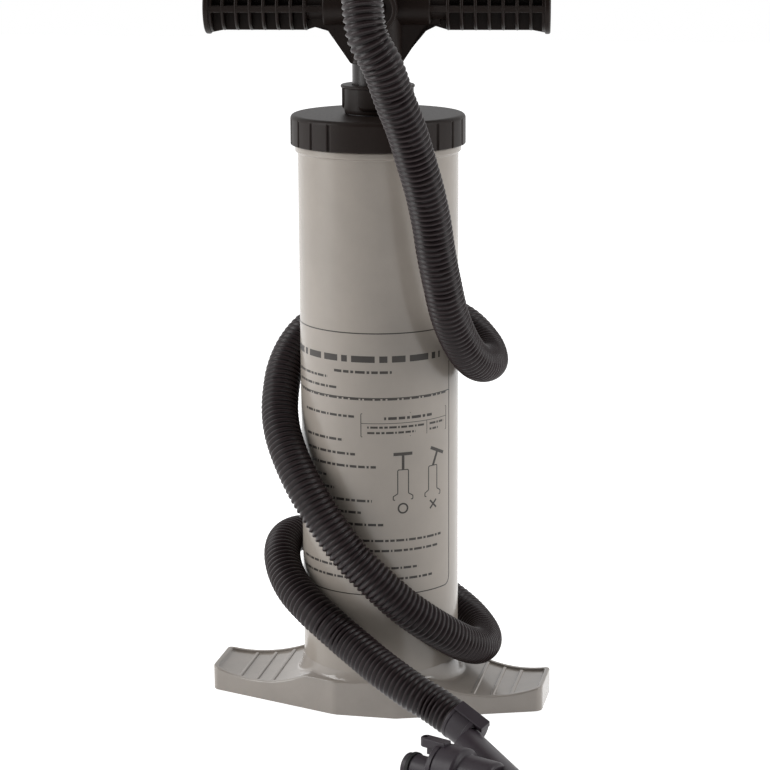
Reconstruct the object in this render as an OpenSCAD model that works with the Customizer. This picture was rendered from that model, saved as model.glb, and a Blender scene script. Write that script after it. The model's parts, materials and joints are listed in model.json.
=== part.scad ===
// Double action hand pump: a tall barrel on a two-tread foot, a ribbed T-handle on a hollow rod,
// and a corrugated delivery hose that leaves the top of the handle and is wound round the barrel.
// Millimetres, +Z up, origin on the barrel axis at floor level, treads along X, front is -Y.

/* [Barrel] */
// outside diameter of the barrel
barrel_od = 114; // [108:0.5:118]
// wall of the barrel
barrel_wall = 3.5; // [2.5:0.5:4]
// length of the barrel tube
barrel_length = 412; // [320:1:440]
// floor of the socket in the foot
socket_floor = 12; // [11:0.5:14]

/* [Foot] */
// from the barrel axis to the end of a tread
foot_reach = 124; // [115:1:150]
// half the width of a tread at its end
foot_end_half = 23; // [18:0.5:28]
// how much each side wall opens towards the barrel, degrees
foot_taper = 19.3; // [17:0.1:21]
// radius of the tread's end corners
foot_corner = 7; // [5:0.5:10]
// wall of the foot moulding
foot_wall = 3.5; // [2.5:0.5:4]

/* [Cap] */
// how far the screw cap stands out past the barrel
cap_overhang = 5; // [4:0.1:8]
// height of the screw cap
cap_height = 21.2; // [20:0.2:26]
// grip grooves on each side of the cap
cap_grooves = 8; // [4:1:9]
// turn of the two groups of grooves, degrees
groove_turn = 16; // [-20:1:20]

/* [Rod and handle] */
// outside diameter of the hollow rod
rod_od = 36; // [34:0.5:38]
// bore of the hollow rod
rod_bore = 24; // [18:0.5:25]
// half the length of the handle
grip_reach = 121; // [118:1:140]
// diameter of the grip ribs
rib_od = 31; // [29:0.5:34]
// ribs on each arm
rib_count = 7; // [5:1:7]
// distance from rib to rib
rib_pitch = 9.6; // [9:0.2:10.2]
// direction the handle rests in, degrees from the treads
handle_rest = 7; // [-20:1:20]
// direction the outlet points, degrees from the front towards +X
outlet_turn = 8; // [-20:1:30]

/* [Hose] */
// outside diameter of the hose
hose_od = 27; // [24:0.5:28]
// bore of the hose
hose_bore = 19; // [16:0.5:20]
// flat sides of the hose's section
hose_sides = 10; // [8:1:12]

/* [Fits] */
// clearance of a running fit, on the radius
run_gap = 0.05; // [0.02:0.01:0.1]
// clearance of an assembly fit, on the radius
fit_gap = 0.05; // [0.02:0.01:0.2]
// lift of the valve discs
disc_lift = 1.5; // [1:0.1:1.8]

/* [Hidden] */
$fn = 72;
e = 0.01;
barrel_r = barrel_od / 2;
bore_r = barrel_r - barrel_wall;
barrel_top = socket_floor + barrel_length;
cap_top = barrel_top + 6.6;
cap_bottom = cap_top - cap_height;
cap_r = barrel_r + cap_overhang;
head_under = barrel_top - 16;
boss_top = cap_top + 18.4;
plate_boss_r = 22;
neck_plate_r = 27.5;
under_ring_in = 32;
under_ring_out = 40;
intake_ring_r = 36;
rod_r = rod_od / 2;
cage_r = rod_r + 3.5;
piston_low = socket_floor + 22;
piston_top = piston_low + 36;
grip_z = cap_top + 73.4;
hub_low = grip_z - 38;
hub_top = grip_z + 20;
neck_r = rod_r - 3;
outlet_z = hub_top + 38;
rib_r = rib_od / 2;
rib_start = 50;
rib_last = rib_start + rib_pitch * (rib_count - 1);
flange_r = rib_r + 2.5;
flange_wall = 3.8;
flange_x = grip_reach - flange_wall;
hose_r = hose_od / 2;
// side wall of the foot: sin(taper) x + cos(taper) y = foot_c
foot_c = sin(foot_taper) * foot_reach + cos(foot_taper) * foot_end_half;
foot_front = barrel_r + 1.5;
corner_x = foot_reach - foot_corner;
corner_y = (foot_c - foot_corner - sin(foot_taper) * corner_x) / cos(foot_taper);
bend_r = 22;
elbow_r = 12.5;
spigot_r = 12;
elbow_bore = 9;
cuff_from = 30;
cuff_reach = 60;
dish_x = 93;
dish_z = 108;
dish_r = 96;
port_r = 22;
disc_r = 30;
screw_ring = 44;

// hose route: degrees round the barrel from the front, gap to the barrel, height
free_run = [
    [outlet_turn, cuff_reach - barrel_r - hose_r, outlet_z],
    [outlet_turn, 4.5, outlet_z],
    [outlet_turn, 20, outlet_z],
    [outlet_turn, 45, outlet_z - 5],
    [outlet_turn, 66.5, outlet_z - 19],
    [8.3, 80.5, outlet_z - 40],
    [9.6, 85.5, outlet_z - 65],
    [13.2, 82, 477], [16.1, 74, 456], [19.7, 65, 435], [23.2, 56, 413], [27, 48, 391],
    [30.6, 40, 369], [34.2, 32, 346], [39, 24.5, 323], [45, 17.5, 301], [54, 11, 282],
    [65, 7, 267], [78, 5.5, 257], [92, 7, 252]];
wound_run = [
    [92, 7, 252], [107, 10, 251], [123, 12, 257], [140, 10.5, 268], [158, 8, 275],
    [177, 5.5, 278], [197, 3.5, 278], [217, 2.5, 274], [235, 2.5, 266], [250, 2.5, 255],
    [263, 2.5, 242], [274, 2, 229], [286, 2, 215], [299, 2, 201], [313, 2, 185],
    [327, 2.5, 167], [341, 2, 146], [355, 1, 125], [370, 1, 106], [385, 1, 88],
    [400, 1, 73], [415, 1, 60], [430, 1.5, 49], [446, 3.5, 41], [462, 6, 38.5],
    [478, 7, 40], [495, 7, 46], [512, 5.5, 55], [530, 4, 67], [550, 3, 81], [570, 2.5, 94],
    [590, 2.5, 104], [608, 2.5, 110], [625, 2.5, 111], [641, 2, 107], [657, 1.5, 99],
    [673, 1.5, 90], [690, 2.5, 81], [702, 3.5, 73], [712.4, 6.4, 65.5], [722.6, 13.7, 58.5],
    [731.1, 23.6, 51.5], [738.2, 34.8, 45], [743.9, 45.6, 38.8], [749, 56.3, 32.8], [753, 70.5, 26.4]];
end_heading = -30;
end_drop = 21;
end_point = around(wound_run[len(wound_run) - 1]);
end_length = 20;
latch_length = 26;
housing_length = 46;
drum_r = 18.2;
drum_length = 20;

function unit(v) = v / norm(v);
function around(p) = [(barrel_r + hose_r + p[1]) * sin(p[0]), -(barrel_r + hose_r + p[1]) * cos(p[0]), p[2]];
function heading_at(p, i) = unit(p[min(i + 1, len(p) - 1)] - p[max(i - 1, 0)]);
function settle(n, t) = unit(n - (n * t) * t);
function sides_of(t) = [for (i = 0, n = settle([0, 0, 1], t[0] + [0, 0, 1e-6]); i < len(t);
    i = i + 1, n = settle(n, t[min(i, len(t) - 1)])) n];

// a tube swept along a route: the two end headings are given, the rest follow the points
module swept_tube(route, first, last) {
    p = [for (q = route) around(q)];
    n = len(p);
    m = hose_sides;
    t = [for (i = [0:n - 1]) i == 0 ? first : i == n - 1 ? last : heading_at(p, i)];
    a = sides_of(t);
    ring = [for (r = [hose_r, hose_bore / 2]) for (i = [0:n - 1]) for (k = [0:m - 1])
        p[i] + r * (cos(360 * k / m) * a[i] + sin(360 * k / m) * cross(t[i], a[i]))];
    s = n * m;
    skin = [for (i = [0:n - 2]) for (k = [0:m - 1]) for (h = [0, 1]) let (
        c = i * m + k, d = i * m + (k + 1) % m)
        h == 0 ? [c, c + m, d + m] : [c, d + m, d]];
    inside = [for (f = skin) [f[0] + s, f[2] + s, f[1] + s]];
    lids = [for (k = [0:m - 1]) let (j = (k + 1) % m, z = (n - 1) * m) each [
        [k, j, j + s], [k, j + s, k + s],
        [z + k, z + j + s, z + j], [z + k, z + k + s, z + j + s]]];
    polyhedron(points = ring, faces = concat(skin, inside, lids));
}

module ring(r_out, r_in, z0, z1) {
    difference() {
        translate([0, 0, z0]) cylinder(r = r_out, h = z1 - z0);
        translate([0, 0, z0 - 1]) cylinder(r = r_in, h = z1 - z0 + 2);
    }
}

module around_ring(count, radius, turn = 0) {
    for (i = [0:count - 1]) rotate([0, 0, turn + 360 * i / count]) translate([radius, 0, 0]) children();
}

module lie_x(r, x0, x1) {
    translate([x0, 0, 0]) rotate([0, 90, 0]) cylinder(r = r, h = x1 - x0);
}

module lie_y(r, y0, y1) {
    translate([0, y0, 0]) rotate([-90, 0, 0]) cylinder(r = r, h = y1 - y0);
}

// outline of the foot drawn in by "inset"
module foot_outline(inset) {
    rc = foot_corner - inset;
    fy = foot_front - inset;
    fx = (foot_c - inset - cos(foot_taper) * fy) / sin(foot_taper);
    q = [[corner_x + rc, corner_y],
         [corner_x + rc * sin(foot_taper), corner_y + rc * cos(foot_taper)],
         [fx, fy]];
    polygon(concat(q, [[-q[2][0], q[2][1]], [-q[1][0], q[1][1]], [-q[0][0], q[0][1]]],
        [[-q[0][0], -q[0][1]], [-q[1][0], -q[1][1]], [-q[2][0], -q[2][1]]],
        [[q[2][0], -q[2][1]], [q[1][0], -q[1][1]], [q[0][0], -q[0][1]]]));
    for (sx = [-1, 1]) for (sy = [-1, 1]) translate([sx * corner_x, sy * corner_y]) circle(r = rc);
}

// grey moulded foot: two dished treads with cross ridges and the socket for the barrel
module base_foot() {
    color([0.70, 0.69, 0.67])
    difference() {
        union() {
            difference() {
                linear_extrude(height = 26) foot_outline(0);
                for (s = [-1, 1]) translate([s * dish_x, 0, dish_z]) lie_y(dish_r - 1.6, -90, 90);
                intersection() {
                    translate([0, 0, 9]) linear_extrude(height = 30) foot_outline(4);
                    for (s = [-1, 1]) translate([s * dish_x, 0, dish_z]) lie_y(dish_r, -90, 90);
                }
            }
            for (s = [-1, 1]) {
                translate([s * 75 - 1.5, -40, 9]) cube([3, 80, 5.7]);
                translate([s * 88.5 - 1.5, -35, 9]) cube([3, 70, 4.1]);
                translate([s * 102 - 1.5, -30, 9]) cube([3, 60, 4.4]);
            }
            intersection() {
                union() {
                    translate([0, 0, 10]) cylinder(r1 = barrel_r + 13, r2 = barrel_r + 6, h = 10);
                    translate([0, 0, 20]) cylinder(r1 = barrel_r + 6, r2 = barrel_r + 0.9, h = 13);
                }
                union() {
                    linear_extrude(height = 26) foot_outline(0);
                    cylinder(r = barrel_r + 2.5, h = 40);
                }
            }
            cylinder(r = barrel_r + 2.5, h = 26);
        }
        translate([0, 0, socket_floor]) cylinder(r = barrel_r + fit_gap, h = 40);
        difference() {
            translate([0, 0, -1]) linear_extrude(height = 8.5) foot_outline(foot_wall);
            ring(barrel_r + 2.5, barrel_r - 1.5, -2, 9);
            for (x = [-105, -85, -65, 65, 85, 105]) translate([x - 1, -60, -2]) cube([2, 120, 11]);
            translate([barrel_r, -1, -2]) cube([80, 2, 11]);
            translate([-barrel_r - 80, -1, -2]) cube([80, 2, 11]);
            around_ring(4, screw_ring, 45) translate([0, 0, -2]) cylinder(r = 6, h = 11);
        }
        around_ring(4, screw_ring, 45) translate([0, 0, -1]) cylinder(r = 4.2, h = 6);
        around_ring(4, screw_ring, 45) cylinder(r = 2.1, h = 20);
        around_ring(6, port_r) cylinder(r = 5, h = 20);
        for (x = [-22, 8]) translate([x, 40, -1]) cube([14, 40, 3.5]);
    }
}

// screws from below through the socket floor into the bulkhead
module base_screws() {
    color([0.62, 0.63, 0.65])
    around_ring(4, screw_ring, 45) difference() {
        union() {
            translate([0, 0, 2.4]) cylinder(r = 3.9, h = 2.6);
            translate([0, 0, 4]) cylinder(r = 2, h = 17);
        }
        translate([0, 0, 1.4]) cylinder(r = 1.7, h = 2.2, $fn = 6);
    }
}

// disc that closes the bottom of the barrel and carries the lower intake ports
module bottom_bulkhead() {
    color([0.20, 0.20, 0.21])
    difference() {
        translate([0, 0, socket_floor]) cylinder(r = bore_r - fit_gap, h = 14);
        ring(bore_r + 5, bore_r - 2.4, socket_floor + 5, socket_floor + 8.2);
        around_ring(6, port_r) translate([0, 0, 5]) cylinder(r = 4, h = 30);
        around_ring(4, screw_ring, 45) translate([0, 0, 5]) cylinder(r = 2, h = 16.2);
        translate([0, 0, socket_floor + 3]) cylinder(r = 4, h = 30);
    }
}

// ring that seals the bulkhead in the bore
module bulkhead_seal() {
    color([0.05, 0.05, 0.05]) ring(bore_r, bore_r - 2.4, socket_floor + 5.1, socket_floor + 8.1);
}

// rubber disc over the lower intake ports
module intake_disc_lower() {
    color([0.10, 0.10, 0.10]) ring(disc_r, 4.1, socket_floor + 14, socket_floor + 16);
}

// stud the lower intake disc lifts on
module intake_stud() {
    color([0.78, 0.78, 0.75])
    union() {
        translate([0, 0, socket_floor + 3.2]) cylinder(r = 4, h = 15);
        translate([0, 0, socket_floor + 16.2 + disc_lift]) cylinder(r = 9, h = 2);
    }
}

// rubber ring the piston comes down on
module bottom_bumper() {
    color([0.08, 0.08, 0.08]) ring(49, 40, socket_floor + 14, piston_low);
}

// the barrel, with the bead the cap comes down to
module barrel_tube() {
    color([0.72, 0.71, 0.69])
    difference() {
        union() {
            translate([0, 0, socket_floor]) cylinder(r = barrel_r, h = barrel_length);
            translate([0, 0, cap_bottom - 5.4]) cylinder(r1 = barrel_r + 0.9, r2 = barrel_r + 1.9, h = 1);
            translate([0, 0, cap_bottom - 4.4]) cylinder(r = barrel_r + 1.9, h = 4.2);
        }
        translate([0, 0, socket_floor - 1]) cylinder(r = bore_r, h = barrel_length + 2);
    }
}

// gasket between the barrel's rim and the head plate
module cap_gasket() {
    color([0.06, 0.06, 0.06]) ring(barrel_r - 0.2, bore_r + 0.2, barrel_top, barrel_top + 1);
}

// plate under the cap: upper intake ports and the threaded boss for the gland nut
module head_plate() {
    color([0.16, 0.16, 0.17])
    difference() {
        union() {
            translate([0, 0, barrel_top + 1]) cylinder(r = barrel_r - 0.2, h = 1.6);
            translate([0, 0, head_under]) cylinder(r = bore_r - fit_gap, h = 17.2);
            translate([0, 0, head_under - 5]) cylinder(r = neck_plate_r, h = 6);
            translate([0, 0, barrel_top]) cylinder(r = plate_boss_r, h = boss_top - barrel_top);
        }
        translate([0, 0, head_under - 6]) cylinder(r = cage_r, h = 100);
        ring(under_ring_out, under_ring_in, barrel_top + 0.6, barrel_top + 5);
        around_ring(6, intake_ring_r, 30) translate([0, 0, head_under - 8]) cylinder(r = 3.5, h = 40);
        ring(31, 26, head_under - 3.1 - disc_lift, head_under - 2.1 - disc_lift);
        ring(bore_r + 5, bore_r - 2, head_under + 6, head_under + 9);
    }
}

// the screw cap: narrow grip grooves on both sides, air holes at the back
module top_cap() {
    color([0.07, 0.07, 0.075])
    difference() {
        union() {
            translate([0, 0, cap_bottom]) cylinder(r = cap_r, h = cap_height - 2.5);
            translate([0, 0, cap_top - 2.5]) cylinder(r1 = cap_r, r2 = cap_r - 0.8, h = 1.5);
            translate([0, 0, cap_top - 1]) cylinder(r1 = cap_r - 0.8, r2 = cap_r - 2.4, h = 1);
        }
        translate([0, 0, cap_bottom - 1]) cylinder(r = barrel_r + 0.15, h = cap_height - 3);
        translate([0, 0, cap_bottom]) cylinder(r = plate_boss_r + 0.3, h = 40);
        for (s = [-1, 1]) for (k = [0:cap_grooves - 1])
            rotate([0, 0, s * (45 - 7.5 * (cap_grooves - 8) - 7.5 + 15 * k) - 90 + groove_turn])
                translate([cap_r - 1, -1, cap_bottom - 1]) cube([3, 2, cap_height - 2]);
        for (a = [60, 90, 120]) rotate([0, 0, a]) translate([intake_ring_r, 0, cap_top - 10]) cylinder(r = 2.5, h = 20);
    }
}

// rubber disc under the upper intake ports
module intake_disc_upper() {
    color([0.10, 0.10, 0.10]) ring(44, neck_plate_r + 0.1, head_under - 2, head_under);
}

// clip that keeps the upper intake disc on its neck
module intake_clip() {
    color([0.70, 0.70, 0.72]) ring(30.5, 26, head_under - 3.1 - disc_lift, head_under - 2.1 - disc_lift);
}

// rubber ring the piston comes up against
module top_bumper() {
    color([0.08, 0.08, 0.08]) ring(52.5, 46, head_under - 8, head_under);
}

// plain bearing of the rod
module rod_bush() {
    color([0.82, 0.80, 0.74]) ring(cage_r, rod_r + run_gap, head_under - 5, boss_top - 8);
}

// lip seal of the rod
module rod_seal() {
    color([0.05, 0.05, 0.05]) ring(cage_r, rod_r + run_gap, boss_top - 8, boss_top - 4);
}

// felt wiper under the gland nut
module rod_wiper() {
    color([0.30, 0.29, 0.27]) ring(cage_r, rod_r + run_gap, boss_top - 4, boss_top);
}

// gland nut with raised grip pads and a thin lip
module gland_nut() {
    color([0.08, 0.08, 0.085])
    difference() {
        union() {
            translate([0, 0, cap_top + 0.6]) cylinder(r = 23.6, h = 17.8);
            translate([0, 0, cap_top + 3.4]) cylinder(r = 24.2, h = 15);
            translate([0, 0, cap_top + 18.4]) cylinder(r = 26.2, h = 2);
            intersection() {
                translate([0, 0, cap_top + 3.4]) cylinder(r = 25.4, h = 15.2);
                union() {
                    for (a = [0, 90]) rotate([0, 0, a])
                        translate([-30, -9.8, cap_top + 3.4]) cube([60, 19.6, 16]);
                }
            }
        }
        translate([0, 0, cap_top]) cylinder(r = plate_boss_r + fit_gap, h = 18.4);
        translate([0, 0, cap_top]) cylinder(r = rod_r + 0.4, h = 40);
    }
}

// hollow rod: thread at the foot for the piston, spigot at the top for the handle
module rod_tube() {
    color([0.09, 0.09, 0.095])
    difference() {
        union() {
            translate([0, 0, piston_low + 16]) cylinder(r = rod_r - 2, h = 30);
            translate([0, 0, piston_top]) cylinder(r = rod_r, h = hub_low - piston_top);
            translate([0, 0, hub_low - 1]) cylinder(r = neck_r, h = 47);
        }
        translate([0, 0, piston_low]) cylinder(r = rod_bore / 2, h = 600);
        rotate([0, 0, handle_rest]) translate([0, 0, grip_z]) lie_y(3.1, -30, 30);
    }
}

// nut that holds the piston on the rod
module rod_nut() {
    color([0.65, 0.66, 0.68])
    difference() {
        ring(24, rod_r - 2, piston_low + 16, piston_low + 24);
        ring(30, 22.5, piston_low + 19, piston_low + 20.3);
    }
}

// cup of the piston with the upper outlet ports
module piston_head() {
    color([0.22, 0.22, 0.23])
    difference() {
        translate([0, 0, piston_low + 6]) cylinder(r = bore_r - 0.9, h = 30);
        translate([0, 0, piston_low]) cylinder(r = 41, h = 24);
        translate([0, 0, piston_low]) cylinder(r = rod_r - 2, h = 50);
        ring(60, 50.5, piston_low + 27.9, piston_low + 31.1);
        ring(60, 50.5, piston_low + 9.9, piston_low + 13.1);
        around_ring(6, 33) translate([0, 0, piston_low]) cylinder(r = 4, h = 50);
        around_ring(4, screw_ring + 1.6, 45) translate([0, 0, piston_low]) cylinder(r = 1.8, h = 20);
    }
}

// plate that closes the cup, with the lower outlet ports
module piston_plate() {
    color([0.25, 0.25, 0.26])
    difference() {
        translate([0, 0, piston_low]) cylinder(r = bore_r - 0.9, h = 6);
        around_ring(6, port_r) translate([0, 0, piston_low - 1]) cylinder(r = 4, h = 20);
        translate([0, 0, piston_low + 2]) cylinder(r = 4, h = 20);
        around_ring(4, screw_ring + 1.6, 45) {
            translate([0, 0, piston_low - 1]) cylinder(r = 1.9, h = 20);
            translate([0, 0, piston_low - 1]) cylinder(r = 3.6, h = 3.4);
        }
    }
}

// screws of the piston plate
module piston_screws() {
    color([0.66, 0.67, 0.69])
    around_ring(4, screw_ring + 1.6, 45) difference() {
        union() {
            translate([0, 0, piston_low + 0.3]) cylinder(r = 3.4, h = 2.1);
            translate([0, 0, piston_low + 1]) cylinder(r = 1.8, h = 16);
        }
        translate([0, 0, piston_low - 1]) cylinder(r = 1.5, h = 2.4, $fn = 6);
    }
}

module piston_ring_upper() {
    color([0.06, 0.06, 0.06]) ring(bore_r - run_gap, 50.5, piston_low + 28, piston_low + 31);
}

module piston_ring_lower() {
    color([0.06, 0.06, 0.06]) ring(bore_r - run_gap, 50.5, piston_low + 10, piston_low + 13);
}

// rubber disc under the upper outlet ports
module outlet_disc_upper() {
    color([0.10, 0.10, 0.10]) ring(39, 24.2, piston_low + 22, piston_low + 24);
}

// clip on the rod nut that keeps the upper outlet disc
module outlet_clip() {
    color([0.70, 0.70, 0.72]) ring(27.5, 22.5, piston_low + 19.05, piston_low + 20.25);
}

// rubber disc over the lower outlet ports
module outlet_disc_lower() {
    color([0.10, 0.10, 0.10]) ring(disc_r, 4.1, piston_low + 6, piston_low + 8);
}

// stud the lower outlet disc lifts on
module outlet_stud() {
    color([0.78, 0.78, 0.75])
    union() {
        translate([0, 0, piston_low + 2.2]) cylinder(r = 4, h = 8);
        translate([0, 0, piston_low + 8.2 + disc_lift]) cylinder(r = 9, h = 2);
    }
}

// outline of the webs of one arm: as high as the ribs, flaring out to the end flange
module web_outline() {
    polygon([[30, 0], [30, 12], [rib_start, rib_r - 0.3], [rib_last, rib_r - 0.3],
        [flange_x - 1, flange_r - 0.8], [flange_x + 1, flange_r - 0.8],
        [flange_x + 1, 0.8 - flange_r], [flange_x - 1, 0.8 - flange_r],
        [rib_last, 0.3 - rib_r], [rib_start, 0.3 - rib_r], [30, -12]]);
}

// one arm of the handle along +X
module grip_arm() {
    lie_x(12.5, 8, 38);
    lie_x(9, 30, rib_start + 1);
    linear_extrude(height = 4.6, center = true) web_outline();
    rotate([90, 0, 0]) linear_extrude(height = 4, center = true) web_outline();
    for (k = [0:rib_count - 1]) translate([rib_start + rib_pitch * k, 0, 0]) lie_x(rib_r, -1.15, 1.15);
    lie_x(flange_r, flange_x, grip_reach - 1);
    translate([grip_reach - 1, 0, 0]) rotate([0, 90, 0]) cylinder(r1 = flange_r, r2 = flange_r - 1, h = 1);
    translate([rod_r - 3, 0, 0]) rotate([90, 0, 0]) linear_extrude(height = 9, center = true)
        polygon([[0, -38], [3, -38], [19, -13], [24, -12], [24, 0], [0, 0]]);
}

// T-handle: hub, front and back screw recess, gussets, ribbed arms
module handle() {
    color([0.075, 0.075, 0.08])
    rotate([0, 0, handle_rest]) difference() {
        union() {
            translate([0, 0, hub_low]) cylinder(r = rod_r, h = 58);
            translate([0, 0, grip_z]) lie_y(15.5, -21, 21);
            translate([0, 0, grip_z]) grip_arm();
            translate([0, 0, grip_z]) rotate([0, 0, 180]) grip_arm();
        }
        translate([0, 0, hub_low - 1]) cylinder(r = neck_r + fit_gap, h = 49.5);
        translate([0, 0, hub_low]) cylinder(r = spigot_r + run_gap, h = 100);
        for (a = [0, 180]) rotate([0, 0, a]) translate([0, 0, grip_z]) lie_y(12.3, -22, -17.5);
        translate([0, 0, grip_z]) lie_y(3.1, -30, 30);
    }
}

// cross screw that pins the handle to the rod
module handle_screw() {
    color([0.10, 0.10, 0.105])
    rotate([0, 0, handle_rest]) translate([0, 0, grip_z]) difference() {
        union() {
            lie_y(7.1, -21, -17.5);
            lie_y(3, -18, 20);
        }
        translate([-4.5, -22, -0.6]) cube([9, 2.2, 1.2]);
    }
}

// nut of the cross screw
module handle_nut() {
    color([0.60, 0.61, 0.63])
    rotate([0, 0, handle_rest]) translate([0, 0, grip_z]) difference() {
        translate([0, 17.5, 0]) rotate([-90, 0, 0]) cylinder(r = 6, h = 2.8, $fn = 6);
        lie_y(3, 16, 22);
    }
}

// swivel elbow that snaps into the top of the hub and turns the air to the front
module outlet_elbow() {
    color([0.09, 0.09, 0.095])
    rotate([0, 0, outlet_turn]) difference() {
        union() {
            translate([0, 0, hub_top - 11.6]) cylinder(r = spigot_r + 0.8, h = 1.8);
            translate([0, 0, hub_top - 11.6]) cylinder(r = spigot_r, h = 28);
            translate([0, 0, hub_top + 0.3]) cylinder(r = elbow_r + 3, h = 6);
            translate([0, 0, hub_top + 0.3]) cylinder(r = elbow_r, h = outlet_z - bend_r - hub_top - 0.3);
            translate([0, -bend_r, outlet_z - bend_r]) rotate([90, 0, 90]) rotate_extrude(angle = 90)
                translate([bend_r, 0]) circle(r = elbow_r);
            translate([0, 0, outlet_z]) lie_y(elbow_r, 0.4 - cuff_from, -bend_r);
            translate([0, 0, outlet_z]) lie_y(spigot_r, 4 - cuff_reach, -cuff_from);
            translate([0, 0, outlet_z]) lie_y(elbow_r + 2, 0.5 - cuff_from, -bend_r - 3);
        }
        translate([0, 0, hub_top - 20]) cylinder(r = elbow_bore, h = outlet_z - bend_r - hub_top + 20);
        translate([0, -bend_r, outlet_z - bend_r]) rotate([90, 0, 90]) rotate_extrude(angle = 90)
            translate([bend_r, 0]) circle(r = elbow_bore);
        translate([0, 0, outlet_z]) lie_y(elbow_bore, -cuff_reach, -bend_r);
        ring(spigot_r + 2, spigot_r - 1.4, hub_top - 6, hub_top - 3.4);
    }
}

// ring that seals the swivel
module outlet_seal() {
    color([0.05, 0.05, 0.05]) ring(spigot_r, spigot_r - 1.4, hub_top - 5.9, hub_top - 3.5);
}

// moulded cuff that joins the hose to the elbow
module upper_cuff() {
    color([0.085, 0.08, 0.085])
    rotate([0, 0, outlet_turn]) translate([0, 0, outlet_z]) rotate([90, 0, 0]) difference() {
        union() {
            translate([0, 0, cuff_from]) cylinder(r = spigot_r + 4, h = 6);
            translate([0, 0, cuff_from + 6])
                cylinder(r1 = spigot_r + 4, r2 = hose_r + 1.1, h = cuff_reach - cuff_from - 6);
        }
        translate([0, 0, cuff_from - 1]) cylinder(r = spigot_r + fit_gap, h = cuff_reach - cuff_from - 2.95);
        translate([0, 0, cuff_from + 10]) cylinder(r = hose_bore / 2, h = cuff_reach - cuff_from);
    }
}

// hose from the outlet down to where it first lies against the barrel
module hose_upper() {
    color([0.13, 0.12, 0.13])
    swept_tube(free_run, [sin(outlet_turn), -cos(outlet_turn), 0], joint_heading());
}

// hose wound round the barrel and out to the front
module hose_wrap() {
    color([0.13, 0.12, 0.13])
    swept_tube(wound_run, joint_heading(), end_axis());
}

function joint_heading() = unit(around(wound_run[1]) - around(free_run[len(free_run) - 2]));
function end_axis() = [cos(end_drop) * cos(end_heading), cos(end_drop) * sin(end_heading), -sin(end_drop)];

module at_end() {
    translate(end_point) rotate([0, end_drop, end_heading]) children();
}

// moulded cuff on the end of the hose with its latch block
module end_cuff() {
    color([0.085, 0.08, 0.085])
    at_end() difference() {
        union() {
            lie_x(hose_r + 0.1, 0, end_length);
            rotate([25, 0, 0]) translate([0.5, -1, 8]) cube([latch_length, 9, 6.6]);
        }
        lie_x(hose_bore / 2, -1, latch_length + 1);
    }
}

module at_body() {
    translate([end_point[0] + 16.5, end_point[1] - 27.5, 15.5]) rotate([0, 0, -58.7]) children();
}

module at_housing() {
    at_body() translate([28.9, -34.3, drum_r - 15.5]) rotate([0, 0, 34]) children();
}

// valve body on the floor at the end of the hose: an inlet tube and a fat housing beside it
module head_body() {
    color([0.10, 0.095, 0.10])
    difference() {
        union() {
            at_body() {
                lie_x(12.5, -24, 72);
            }
            at_end() lie_x(hose_bore / 2 - 0.1, 8, end_length + 2);
            at_housing() {
                lie_x(drum_r, 0, drum_length);
                lie_x(14.5, drum_length - 1, housing_length);
                translate([0, 0, -4]) lie_x(12, -3, 1);
                translate([-14, -4, 14]) cube([21, 8, 6.5]);
                translate([-9, -2, 9]) cube([10, 4, 6]);
            }
        }
        at_end() difference() {
            union() {
                lie_x(hose_r + 12, -20, end_length + 0.05);
                rotate([25, 0, 0]) translate([0, -1.05, 7.95]) cube([latch_length + 0.6, 9.1, 6.7]);
            }
            lie_x(hose_bore / 2 - 0.05, -30, 60);
        }
        at_end() lie_x(6.5, 0, end_length + 1.5);
        at_body() lie_x(8, -3, 90);
        at_housing() {
            lie_x(12.5, 5, 34);
            translate([0, 0, -4]) lie_x(5.5, -10, 20);
            translate([0, 0, -3]) lie_x(4.5, 20, 56);
            translate([-11, 0, 0]) cylinder(r = 1.8, h = 30);
        }
    }
}

// short side outlet of the valve body
module side_nozzle() {
    color([0.09, 0.09, 0.095])
    at_housing() translate([0, 0, -4]) difference() {
        union() {
            lie_x(9.5, -26, -3);
            lie_x(5.45, -4, 5);
        }
        lie_x(4, -30, 30);
    }
}

module side_seal() {
    color([0.05, 0.05, 0.05])
    at_housing() translate([0, 0, -4]) difference() {
        lie_x(10.6, -22, -19);
        lie_x(9.5, -24, -10);
    }
}

// swivelling nozzle at the front of the valve body: grooved collar, straight seat, tapered tip
module front_nozzle() {
    color([0.09, 0.09, 0.095])
    at_body() rotate([0, 90, 0]) difference() {
        union() {
            translate([0, 0, 58]) cylinder(r = 8 - run_gap, h = 16);
            translate([0, 0, 72.3]) cylinder(r = 11.5, h = 6);
            translate([0, 0, 78]) cylinder(r = 9, h = 14);
            translate([0, 0, 92]) cylinder(r1 = 9, r2 = 6.5, h = 22);
        }
        ring(13, 10.5, 74, 76);
        translate([0, 0, 50]) cylinder(r = 5, h = 80);
    }
}

// ring in the groove of the nozzle's collar
module front_seal() {
    color([0.05, 0.05, 0.05])
    at_body() rotate([0, 90, 0]) ring(12, 10.5, 74, 76);
}

base_foot();
base_screws();
bottom_bulkhead();
bulkhead_seal();
intake_disc_lower();
intake_stud();
bottom_bumper();
barrel_tube();
cap_gasket();
head_plate();
top_cap();
intake_disc_upper();
intake_clip();
top_bumper();
rod_bush();
rod_seal();
rod_wiper();
gland_nut();
rod_tube();
rod_nut();
piston_head();
piston_plate();
piston_screws();
piston_ring_upper();
piston_ring_lower();
outlet_disc_upper();
outlet_clip();
outlet_disc_lower();
outlet_stud();
handle();
handle_screw();
handle_nut();
outlet_elbow();
outlet_seal();
upper_cuff();
hose_upper();
hose_wrap();
end_cuff();
head_body();
side_nozzle();
side_seal();
front_nozzle();
front_seal();
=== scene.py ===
import json
import math

import bmesh
import bpy
import numpy as np
from mathutils import Matrix, Vector


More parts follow.
